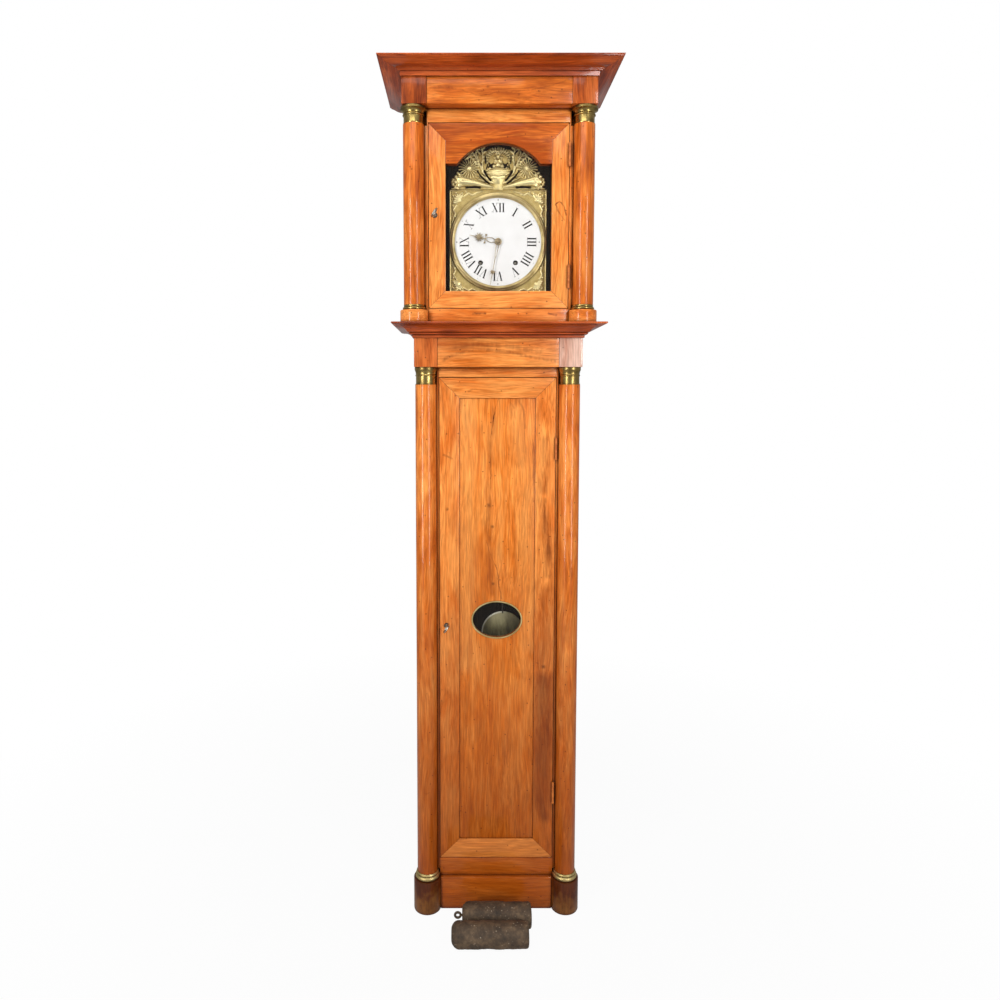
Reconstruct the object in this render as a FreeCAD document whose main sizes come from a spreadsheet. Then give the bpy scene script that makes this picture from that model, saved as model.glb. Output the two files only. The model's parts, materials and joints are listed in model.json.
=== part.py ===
"""A French country longcase clock: columned case, two doors, dial, movement, pendulum and weights.

Millimetres. X runs to the right, Y to the back, Z up. The origin is on the floor at the middle
of the wall face, so the clock's front looks along -Y.
"""
import FreeCAD, Part
import math
import os
import re
import Sketcher

doc = FreeCAD.newDocument("longcase_clock")

# Driving sizes
SIZES = {
    # Case, overall
    "trunk_margin": 64.5, "hood_margin": 66.2, "case_depth": 225.0, "hood_forward": 30.0,
    "back_board": 12.0, "side_board": 18.0, "front_board": 22.0, "side_inset": 6.0,
    "top_board": 12.0, "entablature_forward": 36.0, "frieze_recess": 2.0, "frieze_deep": 50.0,
    "post_web": 10.0, "post_gap": 1.0, "door_stop": 7.0, "stop_gap": 0.5,
    # Feet, columns and their brass
    "foot_radius": 38.0, "foot_tall": 92.0, "foot_chamfer": 3.0, "plinth_gap": 1.2,
    "plinth_proud": 10.0, "column_inset": 29.0, "column_stand": 2.0, "trunk_column_radius": 28.0,
    "trunk_column_tall": 1354.0, "foot_ring_radius": 33.5, "foot_ring_tall": 20.0,
    "trunk_capital_reach": 29.5, "trunk_capital_tall": 46.0, "hood_column_inset": 28.0,
    "hood_column_radius": 27.0, "hood_column_tall": 456.0, "hood_block_radius": 36.5,
    "hood_block_tall": 34.0, "hood_ring_radius": 30.0, "hood_ring_tall": 13.0,
    "hood_capital_reach": 34.0, "hood_capital_tall": 42.0, "turning_gap": 0.5,
    # Friezes and cornices
    "trunk_frieze_tall": 76.0, "trunk_die_width": 61.0, "waist_cornice_tall": 37.0,
    "waist_cornice_reach": 55.0, "hood_frieze_tall": 66.0, "hood_die_width": 63.5,
    "top_cornice_tall": 32.0, "top_cornice_reach": 56.0,
    # Trunk frame and door
    "bottom_rail_tall": 51.0, "top_rail_tall": 26.0, "trunk_door_width": 313.0, "door_gap": 1.5,
    "trunk_member": 54.0, "panel_thick": 12.0, "panel_recess": 3.0, "floor_board": 18.0,
    "oval_width": 139.0, "oval_tall": 105.0, "oval_up": 679.1, "oval_rim": 3.5,
    "oval_rim_proud": 1.0, "oval_gap": 0.3, "pane_thick": 3.0,
    # Hood frame and door
    "hood_bottom_rail": 39.0, "hood_top_rail": 34.0, "hood_door_width": 362.6, "hood_member": 43.6,
    "arch_shoulder": 29.7, "arch_rise": 53.5, "shoulder_drop": 101.5, "pane_gap": 0.3,
    "pane_setback": 9.0, "hood_floor_hole_half": 150.0, "hood_floor_front": 42.0,
    "hood_floor_rear": 30.0,
    # Hinges
    "knuckle_radius": 3.5, "knuckle_tall": 20.0, "knuckle_gap": 0.3, "hinge_pin_radius": 1.5,
    "hinge_fit": 0.06, "hinge_stand": 4.0, "hinge_leaf": 0.4, "hinge_leaf_deep": 18.0,
    "hood_hinge_inset": 80.0, "trunk_hinge_inset": 190.0,
    # Locks and keys
    "hood_key_in": 15.5, "trunk_key_in": 19.0, "hood_key_up": 278.0, "trunk_key_up": 664.2,
    "lock_half": 8.0, "lock_tall": 36.0, "lock_deep": 9.0, "lock_cavity": 6.6, "lock_wall": 2.0,
    "key_shank": 2.2, "key_hole": 2.9, "key_bit": 5.5, "key_bit_thick": 1.6, "key_bit_wide": 2.6,
    "bow_radius": 11.5, "bow_wire": 2.3, "key_collar": 4.2, "key_collar_thick": 2.0,
    "key_shank_out": 17.0, "escutcheon": 7.0, "escutcheon_thick": 0.8, "key_lean": 33.0,
    # Seat board and movement cage
    "seat_up": 60.0, "seat_thick": 15.0, "seat_front": 150.0, "seat_rear": 25.0,
    "bearer_wide": 20.0, "bearer_tall": 25.0, "line_slot_half": 8.0, "cage_half": 108.0, "cage_front": 150.0,
    "cage_rear": 40.0, "cage_plate": 3.0, "cage_headroom": 39.7, "pillar": 8.0,
    "plate_gap": 12.0, "bridge_half": 84.0, "bridge_tall": 14.0, "bridge_thick": 4.0,
    "bridge_front": 176.0, "bridge_post": 3.5, "dial_foot": 3.0,
    # Dial
    "dial_up": 216.3, "dial_radius": 115.0, "dial_thick": 3.0, "dial_dome": 4.0,
    "dial_front": 220.0, "centre_hole": 6.0, "winding_hole": 6.5, "winding_out": 46.2,
    "winding_down": 54.0, "bezel_out": 127.0, "bezel_in": 114.0, "bezel_thick": 9.0,
    "bezel_seat_gap": 0.3, "surround_half": 128.0, "surround_down": 136.0, "surround_up": 138.0,
    "surround_thick": 1.5, "pediment_half": 120.0, "pediment_rise": 112.0, "rosette_radius": 25.0,
    "rosette_out": 78.0, "rosette_up": 58.0, "relief_thick": 6.0, "basket_half": 24.0,
    "basket_tall": 46.0, "basket_up": 12.0,
    # Hands
    "hand_thick": 1.0, "hand_pitch": 4.0, "minute_long": 116.0, "minute_wide": 6.0,
    "minute_tail": 22.0, "hour_long": 76.0, "hour_wide": 8.0, "hour_star": 10.0,
    "hour_star_out": 50.0, "hand_hub": 9.5, "minute_angle": 190.4, "hour_angle": 283.0,
    "collet_radius": 5.0, "collet_thick": 3.0,
    # Motion work
    "minute_arbor": 2.5, "hour_pipe": 4.5, "running_fit": 0.06, "drive_module": 1.0,
    "cannon_module": 1.25, "hour_module": 1.5625, "motion_thick": 3.0, "drive_plane": 186.0,
    "cannon_plane": 196.0, "hour_plane": 206.0, "pinion_over": 2.0, "stud_radius": 2.0,
    # Trains
    "great_module": 1.05, "second_module": 0.95, "third_module": 0.9, "arbor_radius": 2.5,
    "barrel_arbor": 4.0, "barrel_radius": 30.0, "barrel_front": 134.0, "barrel_rear": 70.0,
    "great_plane": 140.0, "second_plane": 62.0, "third_plane": 98.0, "escape_plane": 128.0,
    "wheel_thick": 2.5, "pinion_long": 8.0, "escape_radius": 19.0, "escape_depth": 6.0,
    "square_half": 3.0, "square_out": 216.0, "pendulum_aside": 19.0, "pendulum_up": 65.0,
    "pallet_clear": 2.8, "pallet_wide": 6.0, "anchor_thick": 4.0, "pin_out": 24.0,
    "lift_pin": 1.2, "lift_pin_long": 8.0, "fly_radius": 26.0, "fly_wide": 22.0,
    "fly_thick": 0.8, "fly_front": 100.0, "strike_rise": 42.0,
    # Pendulum
    "rod_radius": 2.5, "rod_plane": 158.0, "bob_radius": 59.0, "bob_thick": 16.0,
    "bob_rim": 2.5, "bob_below_oval": 54.2, "rod_below": 34.0, "nut_radius": 8.0, "nut_tall": 7.0,
    # Bell and hammer
    "bell_radius": 46.0, "bell_tall": 34.0, "bell_wall": 3.0, "bell_up": 26.0, "bell_post": 4.0,
    "bell_back": 92.0, "hammer_aside": 70.0, "hammer_back": 50.0, "hammer_arbor": 2.5,
    "hammer_head": 7.0, "hammer_long": 18.0, "hammer_gap": 4.0, "hammer_arm": 2.0,
    "bell_nut": 7.0,
    # Weights
    "weight_radius": 33.0, "weight_round": 20.0, "weight_chamfer": 3.0, "front_weight_long": 202.0,
    "rear_weight_long": 187.0, "front_weight_back": 379.0, "rear_weight_back": 306.0,
    "front_weight_mid": -22.0, "rear_weight_mid": -1.5, "eye_radius": 7.5, "eye_wire": 3.2,
    "eye_neck": 1.0, "hook_hole": 5.0, "hook_hole_deep": 24.0,
}

sheet = doc.addObject("Spreadsheet::Sheet", "sizes")
for row, (alias, number) in enumerate(SIZES.items(), start=1):
    sheet.set(f"A{row}", str(number))
    sheet.setAlias(f"A{row}", alias)
doc.recompute()

WORDS = re.compile(r"\b(" + "|".join(sorted(SIZES, key=len, reverse=True)) + r")\b")
parts = {}


# Expressions, and the few kinds of object that the clock is made of


def bound(text):
    """The expression with each size written as the sheet's cell."""
    return WORDS.sub(r"sizes.\1", str(text))


def amount(text):
    """The number that an expression gives now."""
    return float(sheet.evalExpression(bound(text)))


def bind(item, prop, text):
    item.setExpression(prop, bound(text))


def place(item, x="0", y="0", z="0"):
    bind(item, ".Placement.Base.x", x)
    bind(item, ".Placement.Base.y", y)
    bind(item, ".Placement.Base.z", z)
    return item


def box(name, x, y, z, length, width, height):
    """A block from its left, front, bottom corner."""
    block = doc.addObject("Part::Box", name)
    bind(block, "Length", length)
    bind(block, "Width", width)
    bind(block, "Height", height)
    return place(block, x, y, z)


def rod(name, x, y, z, radius, long, axis="up"):
    """A cylinder that runs up, back or right from its start point."""
    turns = {"up": (0, 0, 1, 0), "back": (1, 0, 0, -90), "right": (0, 1, 0, 90)}
    ax, ay, az, angle = turns[axis]
    bar = doc.addObject("Part::Cylinder", name)
    bar.Placement.Rotation = FreeCAD.Rotation(FreeCAD.Vector(ax, ay, az), angle)
    bind(bar, "Radius", radius)
    bind(bar, "Height", long)
    return place(bar, x, y, z)


def cut(name, base, tool):
    result = doc.addObject("Part::Cut", name)
    result.Base = base
    result.Tool = tool
    return result


def fuse(name, *items):
    result = doc.addObject("Part::MultiFuse", name)
    result.Shapes = list(items)
    return result


def sub_part(label, *items):
    """Name what goes into one file: one object, or a group of separate solids."""
    if len(items) == 1:
        result = items[0]
    else:
        result = doc.addObject("Part::Compound", label)
        result.Links = list(items)
    result.Label = label
    parts[label] = result
    return result


def origin_plane(body, role):
    return [item for item in body.Origin.OriginFeatures if item.Role == role][0]


def fix_point(sketch, geometry, end, x, y):
    """Hold one point of a sketch at its distances from the sketch's origin."""
    across = sketch.addConstraint(Sketcher.Constraint("DistanceX", -1, 1, geometry, end, amount(x)))
    sketch.setExpression(f"Constraints[{across}]", bound(x))
    along = sketch.addConstraint(Sketcher.Constraint("DistanceY", -1, 1, geometry, end, amount(y)))
    sketch.setExpression(f"Constraints[{along}]", bound(y))


def draw_loop(sketch, points):
    """A closed outline. A point with four values starts an arc through its second pair."""
    spots = [FreeCAD.Vector(amount(point[0]), amount(point[1]), 0) for point in points]
    count = len(points)
    first = sketch.GeometryCount
    for index, point in enumerate(points):
        start, finish = spots[index], spots[(index + 1) % count]
        if len(point) == 4:
            middle = FreeCAD.Vector(amount(point[2]), amount(point[3]), 0)
            leftward = (middle - start).cross(finish - start).z > 0
            arc = Part.Arc(start, middle, finish) if leftward else Part.Arc(finish, middle, start)
            sketch.addGeometry(arc)
        else:
            sketch.addGeometry(Part.LineSegment(start, finish))
    ends = []
    for index in range(count):
        curve = sketch.Geometry[first + index]
        forward = curve.StartPoint.distanceToPoint(spots[index]) < curve.EndPoint.distanceToPoint(spots[index])
        ends.append((1, 2) if forward else (2, 1))
    for index, point in enumerate(points):
        following = (index + 1) % count
        fix_point(sketch, first + index, ends[index][0], point[0], point[1])
        sketch.addConstraint(Sketcher.Constraint(
            "Coincident", first + index, ends[index][1], first + following, ends[following][0]))
        if len(point) == 4:
            mark = sketch.addGeometry(Part.Point(FreeCAD.Vector(amount(point[2]), amount(point[3]), 0)), True)
            fix_point(sketch, mark, 1, point[2], point[3])
            sketch.addConstraint(Sketcher.Constraint("PointOnObject", mark, 1, first + index))


def draw_circle(sketch, x, y, radius):
    centre = FreeCAD.Vector(amount(x), amount(y), 0)
    ring = sketch.addGeometry(Part.Circle(centre, FreeCAD.Vector(0, 0, 1), amount(radius)))
    fix_point(sketch, ring, 3, x, y)
    size = sketch.addConstraint(Sketcher.Constraint("Radius", ring, amount(radius)))
    sketch.setExpression(f"Constraints[{size}]", bound(radius))


def sketch_on(body, role, name, loops=(), circles=()):
    sketch = body.newObject("Sketcher::SketchObject", name)
    sketch.AttachmentSupport = (origin_plane(body, role), [""])
    sketch.MapMode = "FlatFace"
    for points in loops:
        draw_loop(sketch, points)
    for x, y, radius in circles:
        draw_circle(sketch, x, y, radius)
    return sketch


def padded(name, role, loops, thickness, circles=()):
    """A board cut from an outline: XZ_Plane pads to the front, XY_Plane up, YZ_Plane right."""
    body = doc.addObject("PartDesign::Body", name)
    sketch = sketch_on(body, role, name + "_outline", loops, circles)
    pad = body.newObject("PartDesign::Pad", name + "_pad")
    pad.Profile = sketch
    bind(pad, "Length", thickness)
    return body


# Share of a body's volume that a cut has to take away at least
least_cut_share = 1e-6


def require_cut(body, before):
    """Make sure that something came away."""
    if body.Shape.Volume > before * (1 - least_cut_share):
        raise ValueError(body.Name + ": the cut takes nothing away")


def pocketed(body, role, loops, depth, reverse, circles=()):
    """Cut an outline out of a board."""
    doc.recompute()
    before = body.Shape.Volume
    sketch = sketch_on(body, role, body.Name + f"_cut{len(body.Group)}", loops, circles)
    pocket = body.newObject("PartDesign::Pocket", body.Name + f"_pocket{len(body.Group)}")
    pocket.Profile = sketch
    pocket.Reversed = reverse
    bind(pocket, "Length", depth)
    doc.recompute()
    require_cut(body, before)
    return body


def turned(name, role, axis, points):
    """A piece turned about an axis of its own sketch."""
    body = doc.addObject("PartDesign::Body", name)
    sketch = sketch_on(body, role, name + "_profile", [points])
    turn = body.newObject("PartDesign::Revolution", name + "_turn")
    turn.Profile = sketch
    turn.ReferenceAxis = (sketch, [axis])
    turn.Angle = 360
    return body


def mirror_name(name, side):
    return name + ("_left" if side < 0 else "_right")


# Levels and planes of the case
TRUNK_FACE = "(-case_depth)"
HOOD_FACE = "(-case_depth - hood_forward)"
TRUNK_HALF = "(trunk_door_width / 2 + trunk_margin)"
HOOD_HALF = "(hood_door_width / 2 + hood_margin)"
TRUNK_COLUMN_X = f"({TRUNK_HALF} - column_inset)"
HOOD_COLUMN_X = f"({HOOD_HALF} - hood_column_inset)"
PLINTH_HALF = f"({TRUNK_COLUMN_X} - foot_radius - plinth_gap)"
ARCH_HALF = "(hood_door_width / 2 - hood_member - arch_shoulder)"
COLUMN_FOOT_Z = "(foot_tall + foot_ring_tall)"
TRUNK_CAPITAL_Z = "(foot_tall + foot_ring_tall + trunk_column_tall)"
TRUNK_FRIEZE_Z = "(foot_tall + foot_ring_tall + trunk_column_tall + trunk_capital_tall)"
WAIST_Z = f"({TRUNK_FRIEZE_Z} + trunk_frieze_tall)"
HOOD_Z = f"({WAIST_Z} + waist_cornice_tall)"
HOOD_RING_Z = f"({HOOD_Z} + hood_block_tall)"
HOOD_COLUMN_Z = f"({HOOD_RING_Z} + hood_ring_tall)"
HOOD_CAPITAL_Z = f"({HOOD_COLUMN_Z} + hood_column_tall)"
HOOD_FRIEZE_Z = f"({HOOD_CAPITAL_Z} + hood_capital_tall)"
TOP_CORNICE_Z = f"({HOOD_FRIEZE_Z} + hood_frieze_tall)"
TOP_Z = f"({TOP_CORNICE_Z} + top_cornice_tall)"
TRUNK_DOOR_Z = "(foot_tall + bottom_rail_tall + door_gap)"
OVAL_Z = f"({TRUNK_DOOR_Z} + oval_up)"
BOB_Z = f"({OVAL_Z} - bob_below_oval)"
SEAT_Z = f"({HOOD_Z} + seat_up)"
DIAL_Z = f"({HOOD_Z} + dial_up)"
# The cage is as tall as the trains in it, with room over the pendulum's pivot
CAGE_TALL = "(dial_up - seat_up - seat_thick + pendulum_up + cage_headroom)"

# Doors
TRUNK_DOOR = {
    "name": "trunk_door", "half": "(trunk_door_width / 2)", "face": TRUNK_FACE,
    "low": TRUNK_DOOR_Z,
    "high": f"({TRUNK_FRIEZE_Z} - top_rail_tall - door_gap)",
    "member": "trunk_member", "inset": "trunk_hinge_inset",
    "key_in": "trunk_key_in", "key_level": f"({TRUNK_DOOR_Z} + trunk_key_up)",
}
HOOD_DOOR = {
    "name": "hood_door", "half": "(hood_door_width / 2)", "face": HOOD_FACE,
    "low": f"({HOOD_Z} + hood_bottom_rail + door_gap)",
    "high": f"({HOOD_FRIEZE_Z} - hood_top_rail - door_gap)",
    "member": "hood_member", "inset": "hood_hinge_inset",
    "key_in": "hood_key_in", "key_level": f"({HOOD_Z} + hood_key_up)",
}


# Feet, columns, rings and capitals


def foot_block(side):
    name = mirror_name("foot_block", side)
    block = turned(name, "XZ_Plane", "V_Axis", [
        ("0", "0"), ("foot_radius - foot_chamfer", "0"), ("foot_radius", "foot_chamfer"),
        ("foot_radius", "foot_tall"), ("0", "foot_tall")])
    return place(block, f"{side} * {TRUNK_COLUMN_X}", f"{TRUNK_FACE} - column_stand")


def column(name, side, x, face, low, radius, tall):
    return rod(mirror_name(name, side), f"{side} * {x}", f"{face} - column_stand", low, radius, tall)


# Heights of the two half-round steps of a ring, and their cores, as shares of the ring
ring_step_share = 0.6
ring_core_share = 0.88
ring_upper_share = 0.91


def column_ring(name, side, x, face, low, radius, tall):
    step = f"{ring_step_share} * {tall}"
    core = f"{ring_core_share} * {radius}"
    upper = f"{ring_upper_share} * {radius}"
    ring = turned(mirror_name(name, side), "XZ_Plane", "V_Axis", [
        ("0", "0"), (core, "0", radius, f"{step} / 2"), (core, step, upper, f"({step} + {tall}) / 2"),
        (core, tall), ("0", tall)])
    return place(ring, f"{side} * {x}", f"{face} - column_stand", low)


# Capital profile: radial share from the column's face to the abacus, then the height share
capital_shares = [(0.5, 0.0), (0.5, 0.1), (0.0, 0.14), (0.0, 0.5), (0.45, 0.54), (0.45, 0.62),
                  (0.2, 0.66), (0.85, 0.84), (1.0, 0.84), (1.0, 1.0)]


def capital(name, side, x, face, low, radius, reach, tall):
    points = [("0", "0")]
    for out_share, up_share in capital_shares:
        points.append((f"{radius} + {out_share} * ({reach} - {radius})", f"{up_share} * {tall}"))
    points.append(("0", tall))
    body = turned(mirror_name(name, side), "XZ_Plane", "V_Axis", points)
    return place(body, f"{side} * {x}", f"{face} - column_stand", low)


def make_columns():
    sides = (-1, 1)
    sub_part("foot_blocks", *[foot_block(side) for side in sides])
    sub_part("trunk_columns", *[
        column("trunk_column", side, TRUNK_COLUMN_X, TRUNK_FACE, COLUMN_FOOT_Z,
               "trunk_column_radius", "trunk_column_tall") for side in sides])
    sub_part("hood_blocks", *[
        column("hood_block", side, HOOD_COLUMN_X, HOOD_FACE, HOOD_Z,
               "hood_block_radius", "hood_block_tall") for side in sides])
    sub_part("hood_columns", *[
        column("hood_column", side, HOOD_COLUMN_X, HOOD_FACE, HOOD_COLUMN_Z,
               "hood_column_radius", "hood_column_tall") for side in sides])
    rings = [column_ring("foot_ring", side, TRUNK_COLUMN_X, TRUNK_FACE, "foot_tall",
                         "foot_ring_radius", "foot_ring_tall") for side in sides]
    rings += [column_ring("hood_ring", side, HOOD_COLUMN_X, HOOD_FACE, HOOD_RING_Z,
                          "hood_ring_radius", "hood_ring_tall") for side in sides]
    sub_part("column_rings", *rings)
    capitals = [capital("trunk_capital", side, TRUNK_COLUMN_X, TRUNK_FACE, TRUNK_CAPITAL_Z,
                        "trunk_column_radius", "trunk_capital_reach", "trunk_capital_tall")
                for side in sides]
    capitals += [capital("hood_capital", side, HOOD_COLUMN_X, HOOD_FACE, HOOD_CAPITAL_Z,
                         "hood_column_radius", "hood_capital_reach", "hood_capital_tall")
                 for side in sides]
    sub_part("column_capitals", *capitals)


# Boards of the case


def corner_post(name, side, column_x, radius, half, door_half, face, low, high):
    """The corner behind a column: a leg beside the door, a door stop and a web to the side."""
    leg_in = f"({door_half} + door_gap)"
    leg_out = f"({column_x} - {radius} - post_gap)"
    out = f"({half} - side_inset)"
    rebate = f"({face} - column_stand + {radius} + post_gap)"
    web = f"({rebate} + post_web)"
    inner = f"({out} - side_board)"
    stop = f"({leg_in} - door_stop)"
    stop_face = f"({face} + front_board + stop_gap)"
    outline = [(leg_in, face), (leg_out, face), (leg_out, rebate), (out, rebate), (out, web),
               (inner, web), (inner, f"{web} + post_web"), (stop, f"{web} + post_web"),
               (stop, stop_face), (leg_in, stop_face)]
    if side < 0:
        outline = [(f"-{x}", y) for x, y in reversed(outline)]
    post = padded(mirror_name(name, side), "XY_Plane", [outline], f"{high} - {low}")
    return place(post, "0", "0", low)


def relieve_post(post, side, column_x, face, radius, low, high):
    """Round relief where a ring, block or capital is wider than its column."""
    sketch_circle = (f"{side} * {column_x}", f"{face} - column_stand", f"{radius} + turning_gap")
    doc.recompute()
    before = post.Shape.Volume
    sketch = sketch_on(post, "XY_Plane", post.Name + f"_relief{len(post.Group)}", (), [sketch_circle])
    sketch.AttachmentOffset = FreeCAD.Placement()
    bind(sketch, ".AttachmentOffset.Base.z", low)
    pocket = post.newObject("PartDesign::Pocket", post.Name + f"_pocket{len(post.Group)}")
    pocket.Profile = sketch
    pocket.Reversed = True
    bind(pocket, "Length", f"({high}) - ({low})")
    doc.recompute()
    require_cut(post, before)
    return post


def make_posts():
    trunk_posts, hood_posts = [], []
    for side in (-1, 1):
        post = corner_post("trunk_post", side, TRUNK_COLUMN_X, "trunk_column_radius", TRUNK_HALF,
                           TRUNK_DOOR["half"], TRUNK_FACE, "foot_tall", TRUNK_FRIEZE_Z)
        relieve_post(post, side, TRUNK_COLUMN_X, TRUNK_FACE, "foot_ring_radius",
                     "0", "foot_ring_tall + turning_gap")
        relieve_post(post, side, TRUNK_COLUMN_X, TRUNK_FACE, "trunk_capital_reach",
                     f"{TRUNK_CAPITAL_Z} - foot_tall - turning_gap", f"{TRUNK_FRIEZE_Z} - foot_tall")
        trunk_posts.append(post)
        post = corner_post("hood_post", side, HOOD_COLUMN_X, "hood_column_radius", HOOD_HALF,
                           HOOD_DOOR["half"], HOOD_FACE, HOOD_Z, HOOD_FRIEZE_Z)
        relieve_post(post, side, HOOD_COLUMN_X, HOOD_FACE, "hood_block_radius",
                     "0", "hood_block_tall + turning_gap")
        relieve_post(post, side, HOOD_COLUMN_X, HOOD_FACE, "hood_ring_radius",
                     "hood_block_tall", "hood_block_tall + hood_ring_tall + turning_gap")
        relieve_post(post, side, HOOD_COLUMN_X, HOOD_FACE, "hood_capital_reach",
                     f"{HOOD_CAPITAL_Z} - {HOOD_Z} - turning_gap", f"{HOOD_FRIEZE_Z} - {HOOD_Z}")
        hood_posts.append(post)
    sub_part("trunk_posts", *trunk_posts)
    sub_part("hood_posts", *hood_posts)


def rail(name, half, face, low, tall):
    return box(name, f"-({half} + door_gap)", face, low, f"2 * ({half} + door_gap)", "front_board", tall)


def make_rails():
    sub_part("trunk_rails",
             rail("trunk_bottom_rail", TRUNK_DOOR["half"], TRUNK_FACE, "foot_tall", "bottom_rail_tall"),
             rail("trunk_top_rail", TRUNK_DOOR["half"], TRUNK_FACE,
                  f"{TRUNK_FRIEZE_Z} - top_rail_tall", "top_rail_tall"))
    sub_part("hood_rails",
             rail("hood_bottom_rail_bar", HOOD_DOOR["half"], HOOD_FACE, HOOD_Z, "hood_bottom_rail"),
             rail("hood_top_rail_bar", HOOD_DOOR["half"], HOOD_FACE,
                  f"{HOOD_FRIEZE_Z} - hood_top_rail", "hood_top_rail"))


def side_boards(name, half, column_radius, face, low, high):
    boards = []
    front = f"({face} - column_stand + {column_radius} + post_gap + post_web)"
    for side in (-1, 1):
        inner = f"{half} - side_inset - side_board"
        left = inner if side > 0 else f"-({half} - side_inset)"
        boards.append(box(mirror_name(name, side), left, front, low, "side_board",
                          f"-back_board - {front}", f"{high} - {low}"))
    return boards


def dies(name, half, width, face, radius, low, high):
    """Corner block of a frieze, with the strip that runs back along the side."""
    front = f"({face} - entablature_forward)"
    behind = f"({face} - column_stand + {radius} + post_gap + post_web)"
    blocks = []
    for side in (-1, 1):
        outline = [(f"{half} - {width}", front), (half, front), (half, "0"),
                   (f"{half} - side_inset", "0"), (f"{half} - side_inset", behind),
                   (f"{half} - {width}", behind)]
        if side < 0:
            outline = [(f"-({x})", y) for x, y in reversed(outline)]
        block = padded(mirror_name(name, side), "XY_Plane", [outline], f"{high} - {low}")
        blocks.append(place(block, "0", "0", low))
    return blocks


def frieze(name, half, die_width, face, low, high):
    return box(name, f"-({half} - {die_width})", f"{face} - entablature_forward + frieze_recess", low,
               f"2 * ({half} - {die_width})", "frieze_deep", f"{high} - {low}")


def back_board(name, half, low, high):
    return box(name, f"-({half} - side_inset)", "-back_board", low,
               f"2 * ({half} - side_inset)", "back_board", f"{high} - {low}")


def hood_floor():
    """The board that closes the trunk, open in the middle for pendulum and weight lines."""
    front = f"({TRUNK_FACE} - entablature_forward)"
    outline = [(f"-{TRUNK_HALF}", front), (TRUNK_HALF, front), (TRUNK_HALF, "0"), (f"-{TRUNK_HALF}", "0")]
    hole_front = f"{front} + entablature_forward + hood_floor_front"
    hole = [("-hood_floor_hole_half", hole_front), ("hood_floor_hole_half", hole_front),
            ("hood_floor_hole_half", "-hood_floor_rear"), ("-hood_floor_hole_half", "-hood_floor_rear")]
    board = padded("hood_floor", "XY_Plane", [outline, hole], "top_board")
    return place(board, "0", "0", f"{HOOD_Z} - top_board")


def make_case_boards():
    board_top = f"({HOOD_Z} - top_board)"
    hood_top = f"({TOP_Z} - top_board)"
    sub_part("plinth_board", box(
        "plinth_board", f"-{PLINTH_HALF}", f"{TRUNK_FACE} - plinth_proud", "0",
        f"2 * {PLINTH_HALF}", "front_board", "foot_tall"))
    sub_part("trunk_sides", *side_boards("trunk_side", TRUNK_HALF, "trunk_column_radius",
                                         TRUNK_FACE, "0", board_top))
    sub_part("hood_sides", *side_boards("hood_side", HOOD_HALF, "hood_column_radius",
                                        HOOD_FACE, HOOD_Z, hood_top))
    sub_part("back_boards", back_board("trunk_back", TRUNK_HALF, "0", board_top),
             back_board("hood_back", HOOD_HALF, HOOD_Z, hood_top))
    floor_front = f"({TRUNK_FACE} - column_stand + trunk_column_radius + post_gap + post_web)"
    trunk_floor = box("trunk_floor", f"-({TRUNK_HALF} - side_inset - side_board)", floor_front,
                      "foot_tall - floor_board", f"2 * ({TRUNK_HALF} - side_inset - side_board)",
                      f"-back_board - {floor_front}", "floor_board")
    sub_part("floor_boards", trunk_floor, hood_floor())
    sub_part("trunk_dies", *dies("trunk_die", TRUNK_HALF, "trunk_die_width", TRUNK_FACE,
                                 "trunk_column_radius", TRUNK_FRIEZE_Z, board_top))
    sub_part("hood_dies", *dies("hood_die", HOOD_HALF, "hood_die_width", HOOD_FACE,
                                "hood_column_radius", HOOD_FRIEZE_Z, hood_top))
    sub_part("trunk_frieze", frieze("trunk_frieze", TRUNK_HALF, "trunk_die_width",
                                    TRUNK_FACE, TRUNK_FRIEZE_Z, board_top))
    sub_part("hood_frieze", frieze("hood_frieze", HOOD_HALF, "hood_die_width",
                                   HOOD_FACE, HOOD_FRIEZE_Z, hood_top))
    sub_part("hood_top", box(
        "hood_top", f"-{HOOD_HALF}", f"{HOOD_FACE} - entablature_forward", hood_top,
        f"2 * {HOOD_HALF}", "case_depth + hood_forward + entablature_forward", "top_board"))


# Cornices: each point is an outward share of the reach and an upward share of the height,
# and a point with four shares starts a hollow or a round through the second pair
top_cornice_shares = [(0.0, 0.0), (0.06, 0.0), (0.06, 0.30), (0.30, 0.30), (0.34, 0.38),
                      (0.50, 0.42, 0.58, 0.66), (0.86, 0.86), (0.86, 0.92), (1.0, 0.92),
                      (1.0, 1.0), (0.0, 1.0)]
waist_cornice_shares = [(0.0, 0.0), (0.05, 0.0), (0.05, 0.16), (0.20, 0.18), (0.20, 0.26),
                        (0.26, 0.28, 0.50, 0.62), (0.92, 0.82), (1.0, 0.84), (1.0, 1.0), (0.0, 1.0)]


def moulding_profile(shares, reach, tall, sign):
    points = []
    for share in shares:
        steps = [f"{sign} * {share[0]} * {reach}", f"{share[1]} * {tall}"]
        if len(share) == 4:
            steps += [f"{sign} * {share[2]} * {reach}", f"{share[3]} * {tall}"]
        points.append(tuple(steps))
    return points


def front_run(name, half, face, low, shares, reach, tall):
    """The front length of a cornice, mitred at both corners."""
    run = padded(name, "YZ_Plane", [moulding_profile(shares, reach, tall, -1)], f"2 * ({half} + {reach})")
    near = reach
    far = f"(2 * {half} + {reach})"
    end = f"(2 * {half} + 2 * {reach})"
    left_corner = [("0", "0"), ("0", f"-{reach}"), (near, "0")]
    right_corner = [(far, "0"), (end, f"-{reach}"), (end, "0")]
    pocketed(run, "XY_Plane", [left_corner, right_corner], tall, True)
    return place(run, f"-({half} + {reach})", face, low)


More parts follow.
